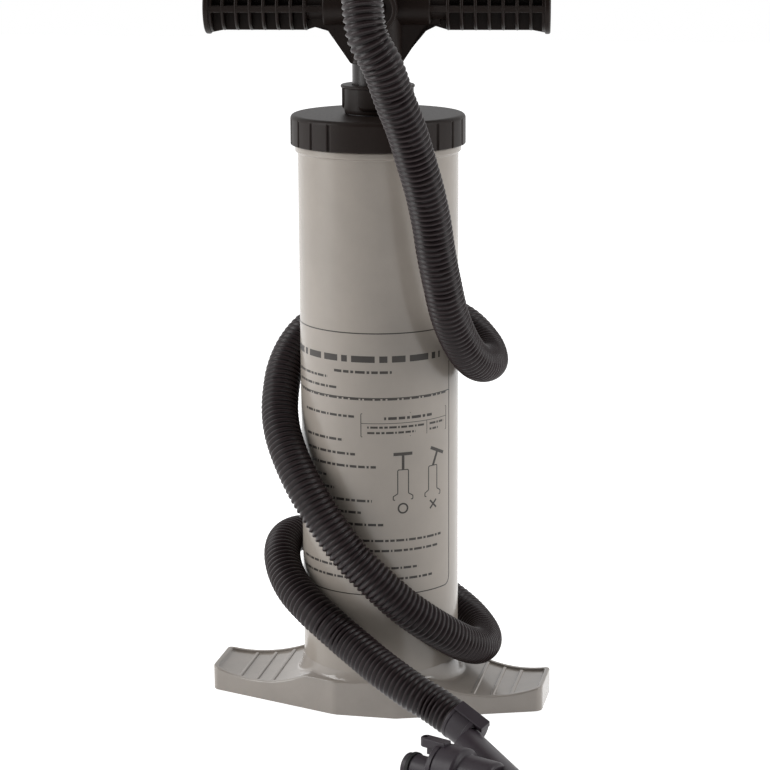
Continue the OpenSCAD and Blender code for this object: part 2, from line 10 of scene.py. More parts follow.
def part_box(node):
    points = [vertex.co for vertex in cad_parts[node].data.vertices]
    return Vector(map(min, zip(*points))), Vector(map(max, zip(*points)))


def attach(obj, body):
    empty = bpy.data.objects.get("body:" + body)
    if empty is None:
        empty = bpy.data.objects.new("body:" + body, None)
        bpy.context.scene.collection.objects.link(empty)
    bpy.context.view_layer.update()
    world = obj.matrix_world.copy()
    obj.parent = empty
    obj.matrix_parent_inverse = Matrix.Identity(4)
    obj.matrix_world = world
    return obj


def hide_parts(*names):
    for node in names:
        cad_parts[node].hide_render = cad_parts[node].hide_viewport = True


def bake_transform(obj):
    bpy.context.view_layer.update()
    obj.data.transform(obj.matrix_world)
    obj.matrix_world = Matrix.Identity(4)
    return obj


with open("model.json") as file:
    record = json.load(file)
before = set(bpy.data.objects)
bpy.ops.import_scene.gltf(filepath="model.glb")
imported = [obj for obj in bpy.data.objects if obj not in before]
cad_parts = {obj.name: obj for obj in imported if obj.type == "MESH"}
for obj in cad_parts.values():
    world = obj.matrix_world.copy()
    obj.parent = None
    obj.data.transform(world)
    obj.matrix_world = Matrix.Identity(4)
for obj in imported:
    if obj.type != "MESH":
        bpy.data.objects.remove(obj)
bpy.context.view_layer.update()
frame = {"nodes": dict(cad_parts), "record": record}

nodes = frame["nodes"]
scene = bpy.context.scene
scene.view_settings.view_transform = "Standard"

# ------------------------------------ standpoint
# The pump stands on its treads, turned 12 degrees to the right, and is seen from standing
# waist height at 1.65 m, looking a little down along the barrel.
base_turn = math.radians(12)
eye_distance, eye_height = 1.65097, 0.6118
pitch, yaw, roll = math.radians(12.912), 0.00239, -0.00545
focal_length, sensor_width = 109.155, 36
level = np.array([math.sin(yaw), math.cos(yaw), 0])
right = np.array([math.cos(yaw), -math.sin(yaw), 0])
look = level * math.cos(pitch) - np.array([0, 0, math.sin(pitch)])
up = np.cross(right, look)
right, up = right * math.cos(roll) + up * math.sin(roll), up * math.cos(roll) - right * math.sin(roll)
turn = np.array([[math.cos(base_turn), -math.sin(base_turn), 0],
                 [math.sin(base_turn), math.cos(base_turn), 0], [0, 0, 1]])
right, up, look = turn @ right, turn @ up, turn @ look
eye = turn @ np.array([0, -eye_distance, eye_height])
lens = bpy.data.cameras.new("view")
lens.sensor_width = sensor_width
lens.lens = focal_length
lens.clip_end = 50
camera = bpy.data.objects.new("view", lens)
stance = np.vstack([np.stack([right, up, -look, eye], 1), [0, 0, 0, 1]])
camera.matrix_world = Matrix([[*row] for row in stance])
scene.collection.objects.link(camera)
scene.camera = camera


# ------------------------------------ hose
# Corrugated delivery hose, 27 mm outside, blown from soft black plastic.  It leaves the swivel
# on top of the handle, comes down in a free bow and is wound twice round the barrel.
hose_r, barrel_r = 13.5, 57
outlet_turn, outlet_z, cuff_reach = 8, 562, 60
ring_pitch, ring_depth = 3.95, 1.6
ring_steps, hose_sides = 6, 32
free_from, free_rise = 330, 120
# degrees round the barrel from the front, gap to the barrel, height
route = np.array([
    [outlet_turn, cuff_reach - barrel_r - hose_r, outlet_z], [outlet_turn, 4.5, outlet_z],
    [outlet_turn, 20, outlet_z], [outlet_turn, 45, outlet_z - 5],
    [outlet_turn, 66.5, outlet_z - 19], [8.3, 80.5, outlet_z - 40],
    [9.6, 85.5, outlet_z - 65], [13.2, 82, 477], [16.1, 74, 456], [19.7, 65, 435],
    [23.2, 56, 413], [27, 48, 391], [30.6, 40, 369], [34.2, 32, 346], [39, 24.5, 323],
    [45, 17.5, 301], [54, 11, 282], [65, 7, 267], [78, 5.5, 257], [92, 7, 252],
    [107, 10, 251], [123, 12, 257], [140, 10.5, 268], [158, 8, 275], [177, 5.5, 278],
    [197, 3.5, 278], [217, 2.5, 274], [235, 2.5, 266], [250, 2.5, 255], [263, 2.5, 242],
    [274, 2, 229], [286, 2, 215], [299, 2, 201], [313, 2, 185], [327, 2.5, 167],
    [341, 2, 146], [355, 1, 125], [370, 1, 106], [385, 1, 88], [400, 1, 73], [415, 1, 60],
    [430, 1.5, 49], [446, 3.5, 41], [462, 6, 38.5], [478, 7, 40], [495, 7, 46],
    [512, 5.5, 55], [530, 4, 67], [550, 3, 81], [570, 2.5, 94], [590, 2.5, 104],
    [608, 2.5, 110], [625, 2.5, 111], [641, 2, 107], [657, 1.5, 99], [673, 1.5, 90],
    [690, 2.5, 81], [702, 3.5, 73], [712.4, 6.4, 65.5], [722.6, 13.7, 58.5], [731.1, 23.6, 51.5],
    [738.2, 34.8, 45], [743.9, 45.6, 38.8], [749, 56.3, 32.8], [753, 70.5, 26.4]])


def round_barrel(azimuth, reach, height):
    """Points at an azimuth in degrees from the front, a distance from the axis and a height."""
    a = np.radians(azimuth)
    return np.stack([reach * np.sin(a), -reach * np.cos(a), height + 0 * a], -1)


def run_of(points):
    """The length run at each point of a line."""
    return np.concatenate([[0], np.cumsum(np.linalg.norm(np.diff(points, axis=0), axis=1))])


def along(points, step):
    """A smooth line through the points at equal steps of its length: each span is a cubic whose
    end slopes are half the chord between the neighbours."""
    p = np.vstack([2 * points[0] - points[1], points, 2 * points[-1] - points[-2]])
    t = np.linspace(0, 1, 40, endpoint=False)[None, :, None]
    a, b, c, d = p[:-3, None], p[1:-2, None], p[2:-1, None], p[3:, None]
    q = b + 0.5 * t * (c - a) + t ** 2 * (a - 2.5 * b + 2 * c - 0.5 * d)
    q = q + t ** 3 * (1.5 * (b - c) + 0.5 * (d - a))
    q = np.vstack([q.reshape(-1, 3), points[-1:]])
    s = run_of(q)
    u = np.linspace(0, s[-1], int(round(s[-1] / step)) + 1)
    return np.stack([np.interp(u, s, q[:, k]) for k in range(3)], 1), u


def unit(v):
    """Vectors scaled to length one."""
    v = np.asarray(v, float)
    return v / np.linalg.norm(v, axis=-1, keepdims=True)


def shell(name, *grids, sharp=40, start=None):
    """One mesh from closed skins, each a grid of points in millimetres whose second index closes
    on itself.  Merged doubles close poles and seams, faces turn outwards and edges over `sharp`
    degrees stay crisp.  A finished piece may be taken in as the start."""
    whole = bmesh.new()
    if start:
        whole.from_mesh(start.data)
        bpy.data.objects.remove(start)
    for grid in grids:
        n, m = grid.shape[:2]
        i, j = np.meshgrid(np.arange(n - 1), np.arange(m), indexing="ij")
        k = (j + 1) % m
        quads = np.stack([i * m + j, i * m + k, (i + 1) * m + k, (i + 1) * m + j], -1)
        part = bpy.data.meshes.new("part")
        part.from_pydata((grid.reshape(-1, 3) / 1000).tolist(), [], quads.reshape(-1, 4).tolist())
        skin = bmesh.new()
        skin.from_mesh(part)
        bmesh.ops.remove_doubles(skin, verts=skin.verts, dist=3e-7)
        bmesh.ops.dissolve_degenerate(skin, edges=skin.edges, dist=1e-7)
        bmesh.ops.recalc_face_normals(skin, faces=skin.faces)
        skin.to_mesh(part)
        skin.free()
        whole.from_mesh(part)
        bpy.data.meshes.remove(part)
    mesh = bpy.data.meshes.new(name)
    whole.to_mesh(mesh)
    whole.free()
    mesh.polygons.foreach_set("use_smooth", np.ones(len(mesh.polygons), bool))
    mesh.set_sharp_from_angle(angle=math.radians(sharp))
    piece = bpy.data.objects.new(name, mesh)
    scene.collection.objects.link(piece)
    return piece


# rings stand square to the run; their seam faces away from the barrel, and sideways on the free run
way = round_barrel(route[:, 0], barrel_r + hose_r + route[:, 1], route[:, 2])
line, run = along(way, ring_pitch / ring_steps)
heading = unit(np.gradient(line, axis=0))
angle = np.degrees(np.arctan2(line[:, 0], -line[:, 1]))
free = np.clip((line[:, 2] - free_from) / free_rise, 0, 1)[:, None]
guide = round_barrel(angle, 1, 0) * (1 - free) + round_barrel(angle + 90, 1, 0) * free
side = unit(np.cross(heading, guide))
wave = 0.5 - 0.5 * np.cos(2 * np.pi * run / ring_pitch)
ring_r = (hose_r - ring_depth * wave ** 1.5)[:, None, None]
turns = np.linspace(0, 2 * np.pi, hose_sides, endpoint=False)[None, :, None]
spokes = np.cos(turns) * side[:, None] + np.sin(turns) * np.cross(heading, side)[:, None]
rings = line[:, None] + ring_r * spokes
ends = [np.repeat(line[k][None, None], hose_sides, 1) for k in (0, -1)]
hose = shell("hose", np.vstack([ends[0], rings, ends[1]]), sharp=80)


def node_group(name, inputs, outputs):
    """An empty shader group with its sockets, then its input and output nodes."""
    g = bpy.data.node_groups.new(name, "ShaderNodeTree")
    for kind, sockets in (("INPUT", inputs), ("OUTPUT", outputs)):
        for label, sort, value in sockets:
            s = g.interface.new_socket(label, in_out=kind, socket_type="NodeSocket" + sort)
            if kind == "INPUT":
                s.default_value = value
    return g, g.nodes.new("NodeGroupInput"), g.nodes.new("NodeGroupOutput")


def node(tree, kind, settings=None, **values):
    """A node with its settings, and its inputs by name: a socket is linked, a value is set."""
    n = tree.nodes.new("ShaderNode" + kind)
    for key, value in (settings or {}).items():
        setattr(n, key, value)
    for key, value in values.items():
        s = n.inputs[int(key[1:]) if key[1:].isdigit() else key.replace("_", " ")]
        if isinstance(value, bpy.types.NodeSocket):
            tree.links.new(value, s)
        else:
            s.default_value = value
    return n


# Moulded skin: two close tones in soft clouds, fine grain, and faint rubbed lines down the piece.
moulded, ins, outs = node_group(
    "moulded_skin",
    [("Colour", "Color", (0.5, 0.5, 0.5, 1)), ("Second", "Color", (0.4, 0.4, 0.4, 1)),
     ("Roughness", "Float", 0.4), ("Spread", "Float", 0.1), ("Grain", "Float", 900.0)],
    [("Colour", "Color", None), ("Roughness", "Float", None), ("Height", "Float", None)])
colour, second, roughness, spread, grain = (
    ins.outputs[label] for label in ("Colour", "Second", "Roughness", "Spread", "Grain"))
place = node(moulded, "TexCoord").outputs["Object"]
clouds = node(moulded, "TexNoise", Vector=place, Scale=28.0, Detail=5.0, Roughness=0.6).outputs["Fac"]
drawn = node(moulded, "Mapping", Vector=place, Scale=(1, 1, 0.06)).outputs[0]
rubbed = node(moulded, "TexNoise", Vector=drawn, Scale=420.0, Detail=4.0, Roughness=0.7).outputs["Fac"]
specks = node(moulded, "TexNoise", Vector=place, Scale=grain, Detail=3.0, Roughness=0.6).outputs["Fac"]
tones = node(moulded, "MapRange", Value=clouds, i1=0.35, i2=0.65).outputs[0]
mixed = node(moulded, "Mix", {"data_type": "RGBA"}, i0=tones, i6=colour, i7=second)
swing = node(moulded, "Math", {"operation": "SUBTRACT"}, i0=rubbed, i1=0.5).outputs[0]
rough = node(moulded, "Math", {"operation": "MULTIPLY_ADD"}, i0=swing, i1=spread, i2=roughness)
relief = node(moulded, "Math", {"operation": "MULTIPLY_ADD"}, i0=rubbed, i1=0.35, i2=specks).outputs[0]
moulded.links.new(mixed.outputs[2], outs.inputs["Colour"])
moulded.links.new(rough.outputs[0], outs.inputs["Roughness"])
moulded.links.new(relief, outs.inputs["Height"])


def finish(name, colour, second, roughness, spread=0.12, grain=900.0, relief=0.00002,
           coat=0.0, metallic=0.0, specular=0.5):
    """A material on the moulded skin.  `relief` is the depth of its grain in metres."""
    m = bpy.data.materials.new(name)
    m.use_nodes = True
    t = m.node_tree
    s = t.nodes["Principled BSDF"]
    g = t.nodes.new("ShaderNodeGroup")
    g.name = "Skin"
    g.node_tree = moulded
    for key, value in (("Colour", (*colour, 1)), ("Second", (*second, 1)), ("Roughness", roughness),
                       ("Spread", spread), ("Grain", grain)):
        g.inputs[key].default_value = value
    bump = node(t, "Bump", Strength=0.6, Distance=relief, Height=g.outputs["Height"])
    t.links.new(g.outputs["Colour"], s.inputs["Base Color"])
    t.links.new(g.outputs["Roughness"], s.inputs["Roughness"])
    t.links.new(bump.outputs[0], s.inputs["Normal"])
    s.inputs["Metallic"].default_value = metallic
    s.inputs["Specular IOR Level"].default_value = specular
    s.inputs["Coat Weight"].default_value = coat
    s.inputs["Coat Roughness"].default_value = 0.12
    return m


def dress(piece, material, body, slot, *stands_for):
    """A finished piece gets its material, rides on its body and stands for its CAD nodes."""
    piece.data.materials.append(material)
    if body:
        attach(piece, body)
    if stands_for:
        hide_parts(*stands_for)
    return piece


# painted shade: the skin's colour is darkened down in the grooves, where shade falls between the ridges
hose_skin = finish("hose_black", (0.0165, 0.0092, 0.0100), (0.023, 0.0140, 0.0150), 0.36, 0.22, 1500.0,
                   specular=0.24)
groove = hose.data.attributes.new("groove", "FLOAT", "POINT")
groove.data.foreach_set("value", np.concatenate([wave[:1], np.repeat(wave, hose_sides), wave[-1:]]))
tree = hose_skin.node_tree
# painted shade: the groove mask multiplies the base colour down to 0.3 at the bottom of each corrugation
deep = node(tree, "Attribute", {"attribute_name": "groove"}).outputs["Fac"]
shade = node(tree, "MapRange", i0=deep, i1=0.35, i2=1.0, i3=1.0, i4=0.3).outputs[0]
dark = node(tree, "Mix", {"data_type": "RGBA", "blend_type": "MULTIPLY"},
            i0=1.0, i6=tree.nodes["Skin"].outputs["Colour"], i7=shade)
tree.links.new(dark.outputs[2], tree.nodes["Principled BSDF"].inputs["Base Color"])
dress(hose, hose_skin, None, "hose_black", "hose_upper", "hose_wrap")
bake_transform(hose)


# ------------------------------------ valve body at the hose's end
# A short cuff with a latch block plugs on an inlet tube, which meets a fat drum and its narrower
# waist on the floor.  A side outlet and a lug leave the drum; a nozzle turns in the inlet's end.
cuff_length, cuff_r, hose_bore = 20, 13.6, 9.5
latch_start, latch_length, latch_near, latch_far, latch_low, latch_high = 0.5, 26, -1, 8, 9.6, 14.6
latch_tilt = math.radians(25)
end_heading, end_drop, body_heading, housing_heading = (math.radians(v) for v in (-30, 21, -58.7, -24.7))
inlet_right, inlet_ahead, inlet_height = 16.5, 27.5, 15.5
inlet_r, inlet_end, bore_r, bore_from, lip_from = 12.5, 72, 8, 40, 8
housing_run, housing_gap, outlet_drop = 28.9, 34.3, 4
housing_r, drum_length, waist_r, housing_length = 18.2, 20, 14.5, 46
lug_low, lug_high, lug_half, lug_hole, lug_hole_r = 14, 20.5, 4, -11, 1.8
side_end, side_r, side_bore, side_ring_low, side_ring_high = -26, 9.5, 4, -22, -19
nozzle_r, seat_r, nozzle_bore, nozzle_end, nozzle_ring_r = 11.5, 9, 5, 114, 12


def rounded(corners, closed=False, steps=5, lead=0.3):
    """The line through corners (x, y, radius): each is an arc that touches both its legs, with a
    point `lead` before and after it so that the shading stays on the arc."""
    out = []
    last = len(corners) - 1
    for i, (x, y, r) in enumerate(corners):
        p = np.array([x, y], float)
        if r == 0 or (not closed and i in (0, last)):
            out.append(p[None])
            continue
        a = np.array(corners[i - 1][:2]) - p
        b = np.array(corners[(i + 1) % (last + 1)][:2]) - p
        la, lb = np.linalg.norm(a), np.linalg.norm(b)
        a, b = a / la, b / lb
        half = 0.5 * math.acos(np.clip(a @ b, -1, 1))
        reach = min(r / math.tan(half), 0.46 * la, 0.46 * lb)
        centre = p + unit(a + b) * reach / math.cos(half)
        first, final = p + a * reach - centre, p + b * reach - centre
        sweep = math.atan2(first[0] * final[1] - first[1] * final[0], first @ final)
        t = np.linspace(0, 1, steps + 1)[:, None] * sweep
        arc = centre + np.cos(t) * first + np.sin(t) * np.array([-first[1], first[0]])
        out.append(np.vstack([p + a * min(reach + lead, 0.49 * la), arc, p + b * min(reach + lead, 0.49 * lb)]))
    return np.vstack(out)


def looped(corners, steps=5):
    """A closed rounded line that ends on its first point."""
    edge = rounded(corners, True, steps)
    return np.vstack([edge, edge[:1]])


def oblong(x0, x1, y0, y1, r, steps=5):
    """A rectangle between two x and two y, with its corners rounded by r."""
    return rounded([(x0, y0, r), (x1, y0, r), (x1, y1, r), (x0, y1, r)], True, steps)


def outward(outline):
    """Unit normals of a closed outline that runs counter-clockwise."""
    step = np.roll(outline, -1, 0) - np.roll(outline, 1, 0)
    return unit(np.stack([step[:, 1], -step[:, 0]], 1))


def slab(outline, low, high, edge=0.6, steps=3):
    """A plate with the outline (x, y) between two heights: its edges are rounded by `edge`, and
    its faces are fans from the middle."""
    middle = np.append(outline.mean(0), 0)
    rim = rounded([(3 * edge, low, 0), (0, low, edge), (0, high, edge), (3 * edge, high, 0)],
                  steps=steps, lead=0.1)
    rim = rim[(rim[:, 0] < 1.6 * edge)]
    n = outward(outline)
    rows = [np.column_stack([outline - d * n, np.full(len(outline), z)]) for d, z in rim]
    caps = [np.repeat((middle + [0, 0, z])[None], len(outline), 0) for z in (low, high)]
    return np.stack([caps[0], *rows, caps[1]])


def turned(profile, sides=96):
    """A profile (radius, height) turned about Z."""
    a = np.linspace(0, 2 * np.pi, sides, endpoint=False)
    r, z = profile[:, :1], profile[:, 1:]
    return np.stack([r * np.cos(a), r * np.sin(a), z + 0 * a], -1)


def laid(points, at=(0, 0, 0), x=(1, 0, 0), z=(0, 0, 1)):
    """Points moved so that their own X and Z lie along x and z, with their origin at `at`."""
    x, z = unit(x), unit(z)
    y = np.cross(z, x)
    return np.array(at) + points[..., :1] * x + points[..., 1:2] * y + points[..., 2:] * z


def drilled(piece, *tools):
    """The piece with closed tool shapes cut out of it, by a boolean that is then applied."""
    drill = shell("drill", *tools)
    bite = piece.modifiers.new("bite", "BOOLEAN")
    bite.operation, bite.solver, bite.object = "DIFFERENCE", "MANIFOLD", drill
    bpy.context.view_layer.update()
    done = bpy.data.meshes.new_from_object(piece.evaluated_get(bpy.context.evaluated_depsgraph_get()))
    piece.modifiers.clear()
    old, piece.data = piece.data, done
    bpy.data.meshes.remove(old)
    bpy.data.objects.remove(drill)
    piece.data.materials.clear()
    piece.data.set_sharp_from_angle(angle=math.radians(40))
    return piece


def pin(r, low, high, sides=32):
    """A plain closed cylinder, used as a drill."""
    return turned(np.array([[0, low], [r, low], [r, high], [0, high]]), sides)


def level_way(a):
    """The level unit vector at an angle from X."""
    return np.array([math.cos(a), math.sin(a), 0])


end_axis = math.cos(end_drop) * level_way(end_heading) - [0, 0, math.sin(end_drop)]
end_up = math.sin(end_drop) * level_way(end_heading) + [0, 0, math.cos(end_drop)]
body_axis, housing_axis = level_way(body_heading), level_way(housing_heading)
body_side = np.cross([0, 0, 1], body_axis)
cuff_at = way[-1]
inlet_at = np.array([cuff_at[0] + inlet_right, cuff_at[1] - inlet_ahead, inlet_height])
housing_at = inlet_at + housing_run * body_axis - housing_gap * body_side + [0, 0, housing_r - inlet_height]
outlet_at = housing_at - [0, 0, outlet_drop]


def lathe(profile, at, axis, sides=72):
    """A profile (radius, run) turned about an axis that starts at `at`."""
    upright = np.array([0, 0, 1]) if abs(axis[2]) < 0.01 else end_up
    return laid(turned(profile, sides), at, x=upright, z=axis)


sleeve = rounded([
    (hose_bore, 0, 0), (cuff_r, 0, 0.8), (cuff_r, 2.6, 0.3), (cuff_r - 0.5, 3, 0.3),
    (cuff_r - 0.5, cuff_length - 4, 0.3), (cuff_r, cuff_length - 3.6, 0.3), (cuff_r, cuff_length, 1.0),
    (hose_bore, cuff_length, 0), (hose_bore, 0, 0)])
latch_up = math.cos(latch_tilt) * end_up - math.sin(latch_tilt) * np.cross(end_up, end_axis)
latch = oblong(latch_start, latch_length + latch_start, latch_near, latch_far, 0.8)
end_cuff = shell("end_cuff_sleeve", lathe(sleeve, cuff_at, end_axis),
                 laid(slab(latch, latch_low, latch_high, 0.7, 4), cuff_at, x=end_axis, z=latch_up))

# the inlet tube is cut square to the hose where it meets the cuff's end
inlet = rounded([
    (0, 0, 0), (inlet_r, 0, 0.1), (inlet_r, inlet_end, 1.4), (bore_r + 0.05, inlet_end, 0.3),
    (bore_r + 0.05, bore_from, 0), (0, bore_from, 0)])
tube = lathe(inlet, inlet_at, body_axis)
first = inlet[:, 1] < 0.5
meet = end_axis @ (cuff_at + end_axis * (cuff_length + 0.1))
tube[first] += ((meet - tube[first] @ end_axis) / (end_axis @ body_axis))[..., None] * body_axis
lip = rounded([(0, lip_from, 0), (hose_bore - 0.1, lip_from, 0.4), (hose_bore - 0.1, cuff_length + 2, 1.2),
               (0, cuff_length + 2, 0)])
drum = rounded([
    (0, 0, 0), (13, 0, 0.5), (13.5, -0.6, 0.3), (housing_r - 1, -0.6, 0.6), (housing_r, 0.2, 0.8),
    (housing_r, 3.4, 0.2), (housing_r - 0.9, 3.6, 0.2), (housing_r - 0.9, 4.7, 0.2), (housing_r, 4.9, 0.2),
    (housing_r, drum_length, 2.2), (waist_r, drum_length + 1.6, 1.2), (waist_r, housing_length, 3),
    (0, housing_length, 0)])
collar = rounded([(0, -3, 0), (12, -3, 0.6), (12, 1, 0), (0, 1, 0)])
valve_body = shell("valve_body", tube, lathe(lip, cuff_at, end_axis),
                   lathe(drum, housing_at, housing_axis), lathe(collar, outlet_at, housing_axis))
tab = rounded([(-14, -lug_half, 3.4), (7, -lug_half, 1), (7, lug_half, 1), (-14, lug_half, 3.4)], True, 6)
lug = drilled(shell("valve_lug", laid(slab(tab, lug_low, lug_high, 0.9), housing_at, x=housing_axis)),
              laid(pin(lug_hole_r, 10, 24), housing_at + lug_hole * housing_axis))
strut = slab(oblong(-9, 1, -2, 2, 0.5, 3), 9, lug_low + 0.5, 0.4)
lug = shell("valve_lug", laid(strut, housing_at, x=housing_axis), start=lug)

# side outlet, turning nozzle and their rings: (radius, run)
side_line = looped([(side_bore, side_end, 0.4), (side_r, side_end, 1.0), (side_r, -3.02, 0),
                    (5.45, -3.02, 0), (5.45, 5, 0.4), (side_bore, 5, 0.3)])
side_tube = shell("side_outlet_tube", lathe(side_line, outlet_at, housing_axis))
band = looped([(side_r - 0.05, side_ring_low, 0.2), (side_r + 1.1, side_ring_low, 0.5),
               (side_r + 1.1, side_ring_high, 0.5), (side_r - 0.05, side_ring_high, 0.2)])
side_ring = shell("side_outlet_ring", lathe(band, outlet_at, housing_axis))
tip = looped([
    (nozzle_bore, 58, 0.3), (bore_r - 0.05, 58, 0.5), (bore_r - 0.05, 72.3, 0), (nozzle_r, 72.3, 0.4),
    (nozzle_r, 74, 0.3), (10.5, 74, 0.1), (10.5, 76, 0.1), (nozzle_r, 76, 0.3), (nozzle_r, 78.3, 0.7),
    (seat_r, 78.3, 0.4), (seat_r, 92, 0.8), (6.5, nozzle_end, 0.7), (nozzle_bore, nozzle_end, 0.4)])
nozzle_tube = shell("turning_nozzle", lathe(tip, inlet_at, body_axis))
band = looped([(10.5, 74.05, 0.3), (nozzle_ring_r, 74.05, 0.7), (nozzle_ring_r, 75.95, 0.7), (10.5, 75.95, 0.3)])
nozzle_ring = shell("turning_nozzle_ring", lathe(band, inlet_at, body_axis))
fitting_skin = finish("fitting_black", (0.030, 0.0225, 0.0285), (0.038, 0.0300, 0.0370), 0.40, 0.14, 900.0,
                      0.00003, specular=0.32)
ring_rubber = finish("ring_rubber", (0.012, 0.011, 0.011), (0.018, 0.017, 0.017), 0.55, 0.15, 1600.0,
                     0.00003, specular=0.25)
for piece, *part in ((end_cuff, "end_cuff"), (valve_body, "head_body"), (lug,), (side_tube, "side_nozzle")):
    dress(piece, fitting_skin, "pump_body", "black_plastic", *part)
dress(side_ring, ring_rubber, "pump_body", "seal_rubber", "side_seal")
dress(nozzle_tube, fitting_skin, "nozzle", "black_plastic", "front_nozzle")
dress(nozzle_ring, ring_rubber, "nozzle", "seal_rubber", "front_seal")


# ------------------------------------ floor and light
# A pale seamless floor in a room that is white behind the pump and darker before it.  Two tall
# soft lamps stand left and right of the pump.
half_floor, floor_glow = 6, 0.74
lamp_aim = Vector((0, 0, 0.28))
sheet = bpy.data.meshes.new("floor")
sheet.from_pydata([(-half_floor, -half_floor, 0), (half_floor, -half_floor, 0),
                   (half_floor, half_floor, 0), (-half_floor, half_floor, 0)], [], [(0, 1, 2, 3)])
floor = bpy.data.objects.new("floor", sheet)
scene.collection.objects.link(floor)
paper = bpy.data.materials.new("pale_floor")
paper.use_nodes = True
tree = paper.node_tree
shader = tree.nodes["Principled BSDF"]
shader.inputs["Base Color"].default_value = (0.86, 0.86, 0.86, 1)
shader.inputs["Roughness"].default_value = 0.9
shader.inputs["Specular IOR Level"].default_value = 0.1
path = node(tree, "LightPath")
eyed = node(tree, "Math", {"operation": "MAXIMUM"},
            i0=path.outputs["Is Camera Ray"], i1=path.outputs["Is Glossy Ray"])
lift = node(tree, "Math", {"operation": "MULTIPLY"}, i0=eyed.outputs[0], i1=floor_glow)
tree.links.new(lift.outputs[0], shader.inputs["Emission Strength"])
shader.inputs["Emission Color"].default_value = (1, 1, 1, 1)
sheet.materials.append(paper)

world = bpy.data.worlds.new("surround")
scene.world = world
world.use_nodes = True
tree = world.node_tree
tree.nodes.clear()
path = node(tree, "LightPath")
facing = node(tree, "VectorMath", {"operation": "DOT_PRODUCT"}, i0=node(tree, "TexCoord").outputs["Generated"],
              i1=(math.sin(base_turn), -math.cos(base_turn), 0)).outputs["Value"]
room = node(tree, "MapRange", {"interpolation_type": "SMOOTHSTEP"},
            i0=facing, i1=-0.7, i2=0.8, i3=0.85, i4=0.14).outputs[0]
lit = node(tree, "Background", Color=(1, 1, 1, 1), Strength=room)
seen = node(tree, "Background", Color=(1, 1, 1, 1), Strength=1.0)
both = node(tree, "MixShader", i0=path.outputs["Is Camera Ray"], i1=lit.outputs[0], i2=seen.outputs[0])
node(tree, "OutputWorld", Surface=both.outputs[0])
for name, spot, wide, tall, power in [("left_lamp", (-1.7, -0.7, 1.0), 0.9, 1.6, 24),
                                      ("right_lamp", (1.8, -0.2, 1.0), 0.7, 1.6, 14)]:
    lamp = bpy.data.lights.new(name, "AREA")
    lamp.shape = "RECTANGLE"
    lamp.size, lamp.size_y, lamp.energy = wide, tall, power
    stand = bpy.data.objects.new(name, lamp)
    stand.location = spot
    stand.rotation_euler = (lamp_aim - Vector(spot)).to_track_quat("-Z", "Y").to_euler()
    scene.collection.objects.link(stand)


# ------------------------------------ foot
# One grey moulding: a socket for the barrel and two dished treads with a raised rim, three low
# cross ridges each, and a hollow underside stiffened by ribs.  It is screwed up from below.
foot_reach, foot_end_half, foot_taper = 124, 23, math.radians(19.3)
foot_front, foot_wall, plate_under, socket_floor = barrel_r + 1.5, 3.5, 7.5, 12
end_corner, front_corner = 7, 15
dish_x, dish_z, dish_r, rim_height, rim_width, rim_round = 93, 108, 96, 1.6, 4, 1.3
collar_gain, collar_fade, collar_blend, waist_top = 22, 4, 3, 25.5
side_c = math.sin(foot_taper) * foot_reach + math.cos(foot_taper) * foot_end_half
front_x = (side_c - math.cos(foot_taper) * foot_front) / math.sin(foot_taper)
port_ring, port_r, screw_ring, screw_boss, screw_r, screw_head, head_under = 22, 5, 44, 6, 2.15, 4.2, 5
notch_wide, notch_high, notch_x = 14, 2.5, (-22, 8)
ridge_x, ridge_half, ridge_proud = (75, 88.5, 102), 1.5, 1.0
stiffener_x, stiffener_half, long_mid, long_half = (65, 85, 105), 1, 90, 31
socket_r = barrel_r + 0.06

# the outline, sampled at directions from the axis and dense at its corners
behind = [(foot_reach, foot_end_half, end_corner), (front_x, foot_front, front_corner)]
behind += [(-x, y, r) for x, y, r in behind[::-1]]
before = [(x, -y, r) for x, y, r in behind[::-1]]
corners = before[-1:] + behind + before[:-1]
edge_line = rounded(corners, closed=True, steps=8)
edge_line = np.roll(edge_line, -int(np.argmin(np.abs(np.arctan2(edge_line[:, 1], edge_line[:, 0])))), 0)


def respaced(closed_line, spacing, digits):
    """A closed line with points added at even spacings of its length, its own points kept."""
    loop = np.vstack([closed_line, closed_line[:1]])
    length = run_of(loop)
    spots = np.unique(np.round(np.concatenate([spacing(length[-1]), length[:-1]]), digits))
    return np.stack([np.interp(spots, length, loop[:, k]) for k in (0, 1)], 1)


outline = respaced(edge_line, lambda whole: np.linspace(0, whole, 360, endpoint=False), 4)
normal = outward(outline)
ray = unit(outline)


def tread_top(x, y, inset):
    """Height of the tread: a dish with its axis along Y and a rim near the edge, cut off flat beside
    the barrel and flowing up into the collar round it."""
    lip = np.clip((rim_width + 0.5 - inset) / 1.2, 0, 1)
    r = dish_r - rim_height * lip * lip * (3 - 2 * lip)
    run = np.clip(dish_x - np.abs(x), -40, 0.82 * dish_r)
    dish = np.minimum(dish_z - np.sqrt(r * r - run * run), waist_top + 0 * x)
    out = np.maximum(np.hypot(x, y) - barrel_r, 0)
    collar = socket_floor - 3 + (collar_gain + 2) * np.exp(-out / collar_fade)
    gap = np.clip(0.5 + 0.5 * (collar - dish) / collar_blend, 0, 1)
    return dish * (1 - gap) + collar * gap + collar_blend * gap * (1 - gap)


def moved_in(inset):
    """The outline drawn in by `inset`, but never nearer to the axis than the barrel's seat."""
    p = outline - inset * normal
    return np.where(np.linalg.norm(p, axis=1)[:, None] < socket_r, ray * socket_r, p)


def level_row(p, z):
    """The points p in the plane, all at one height."""
    return np.column_stack([p, np.full(len(p), z)])


def half_width(x, inset):
    """Half the foot's width at x, less an inset from its tapered side."""
    return (side_c - math.sin(foot_taper) * x) / math.cos(foot_taper) - inset


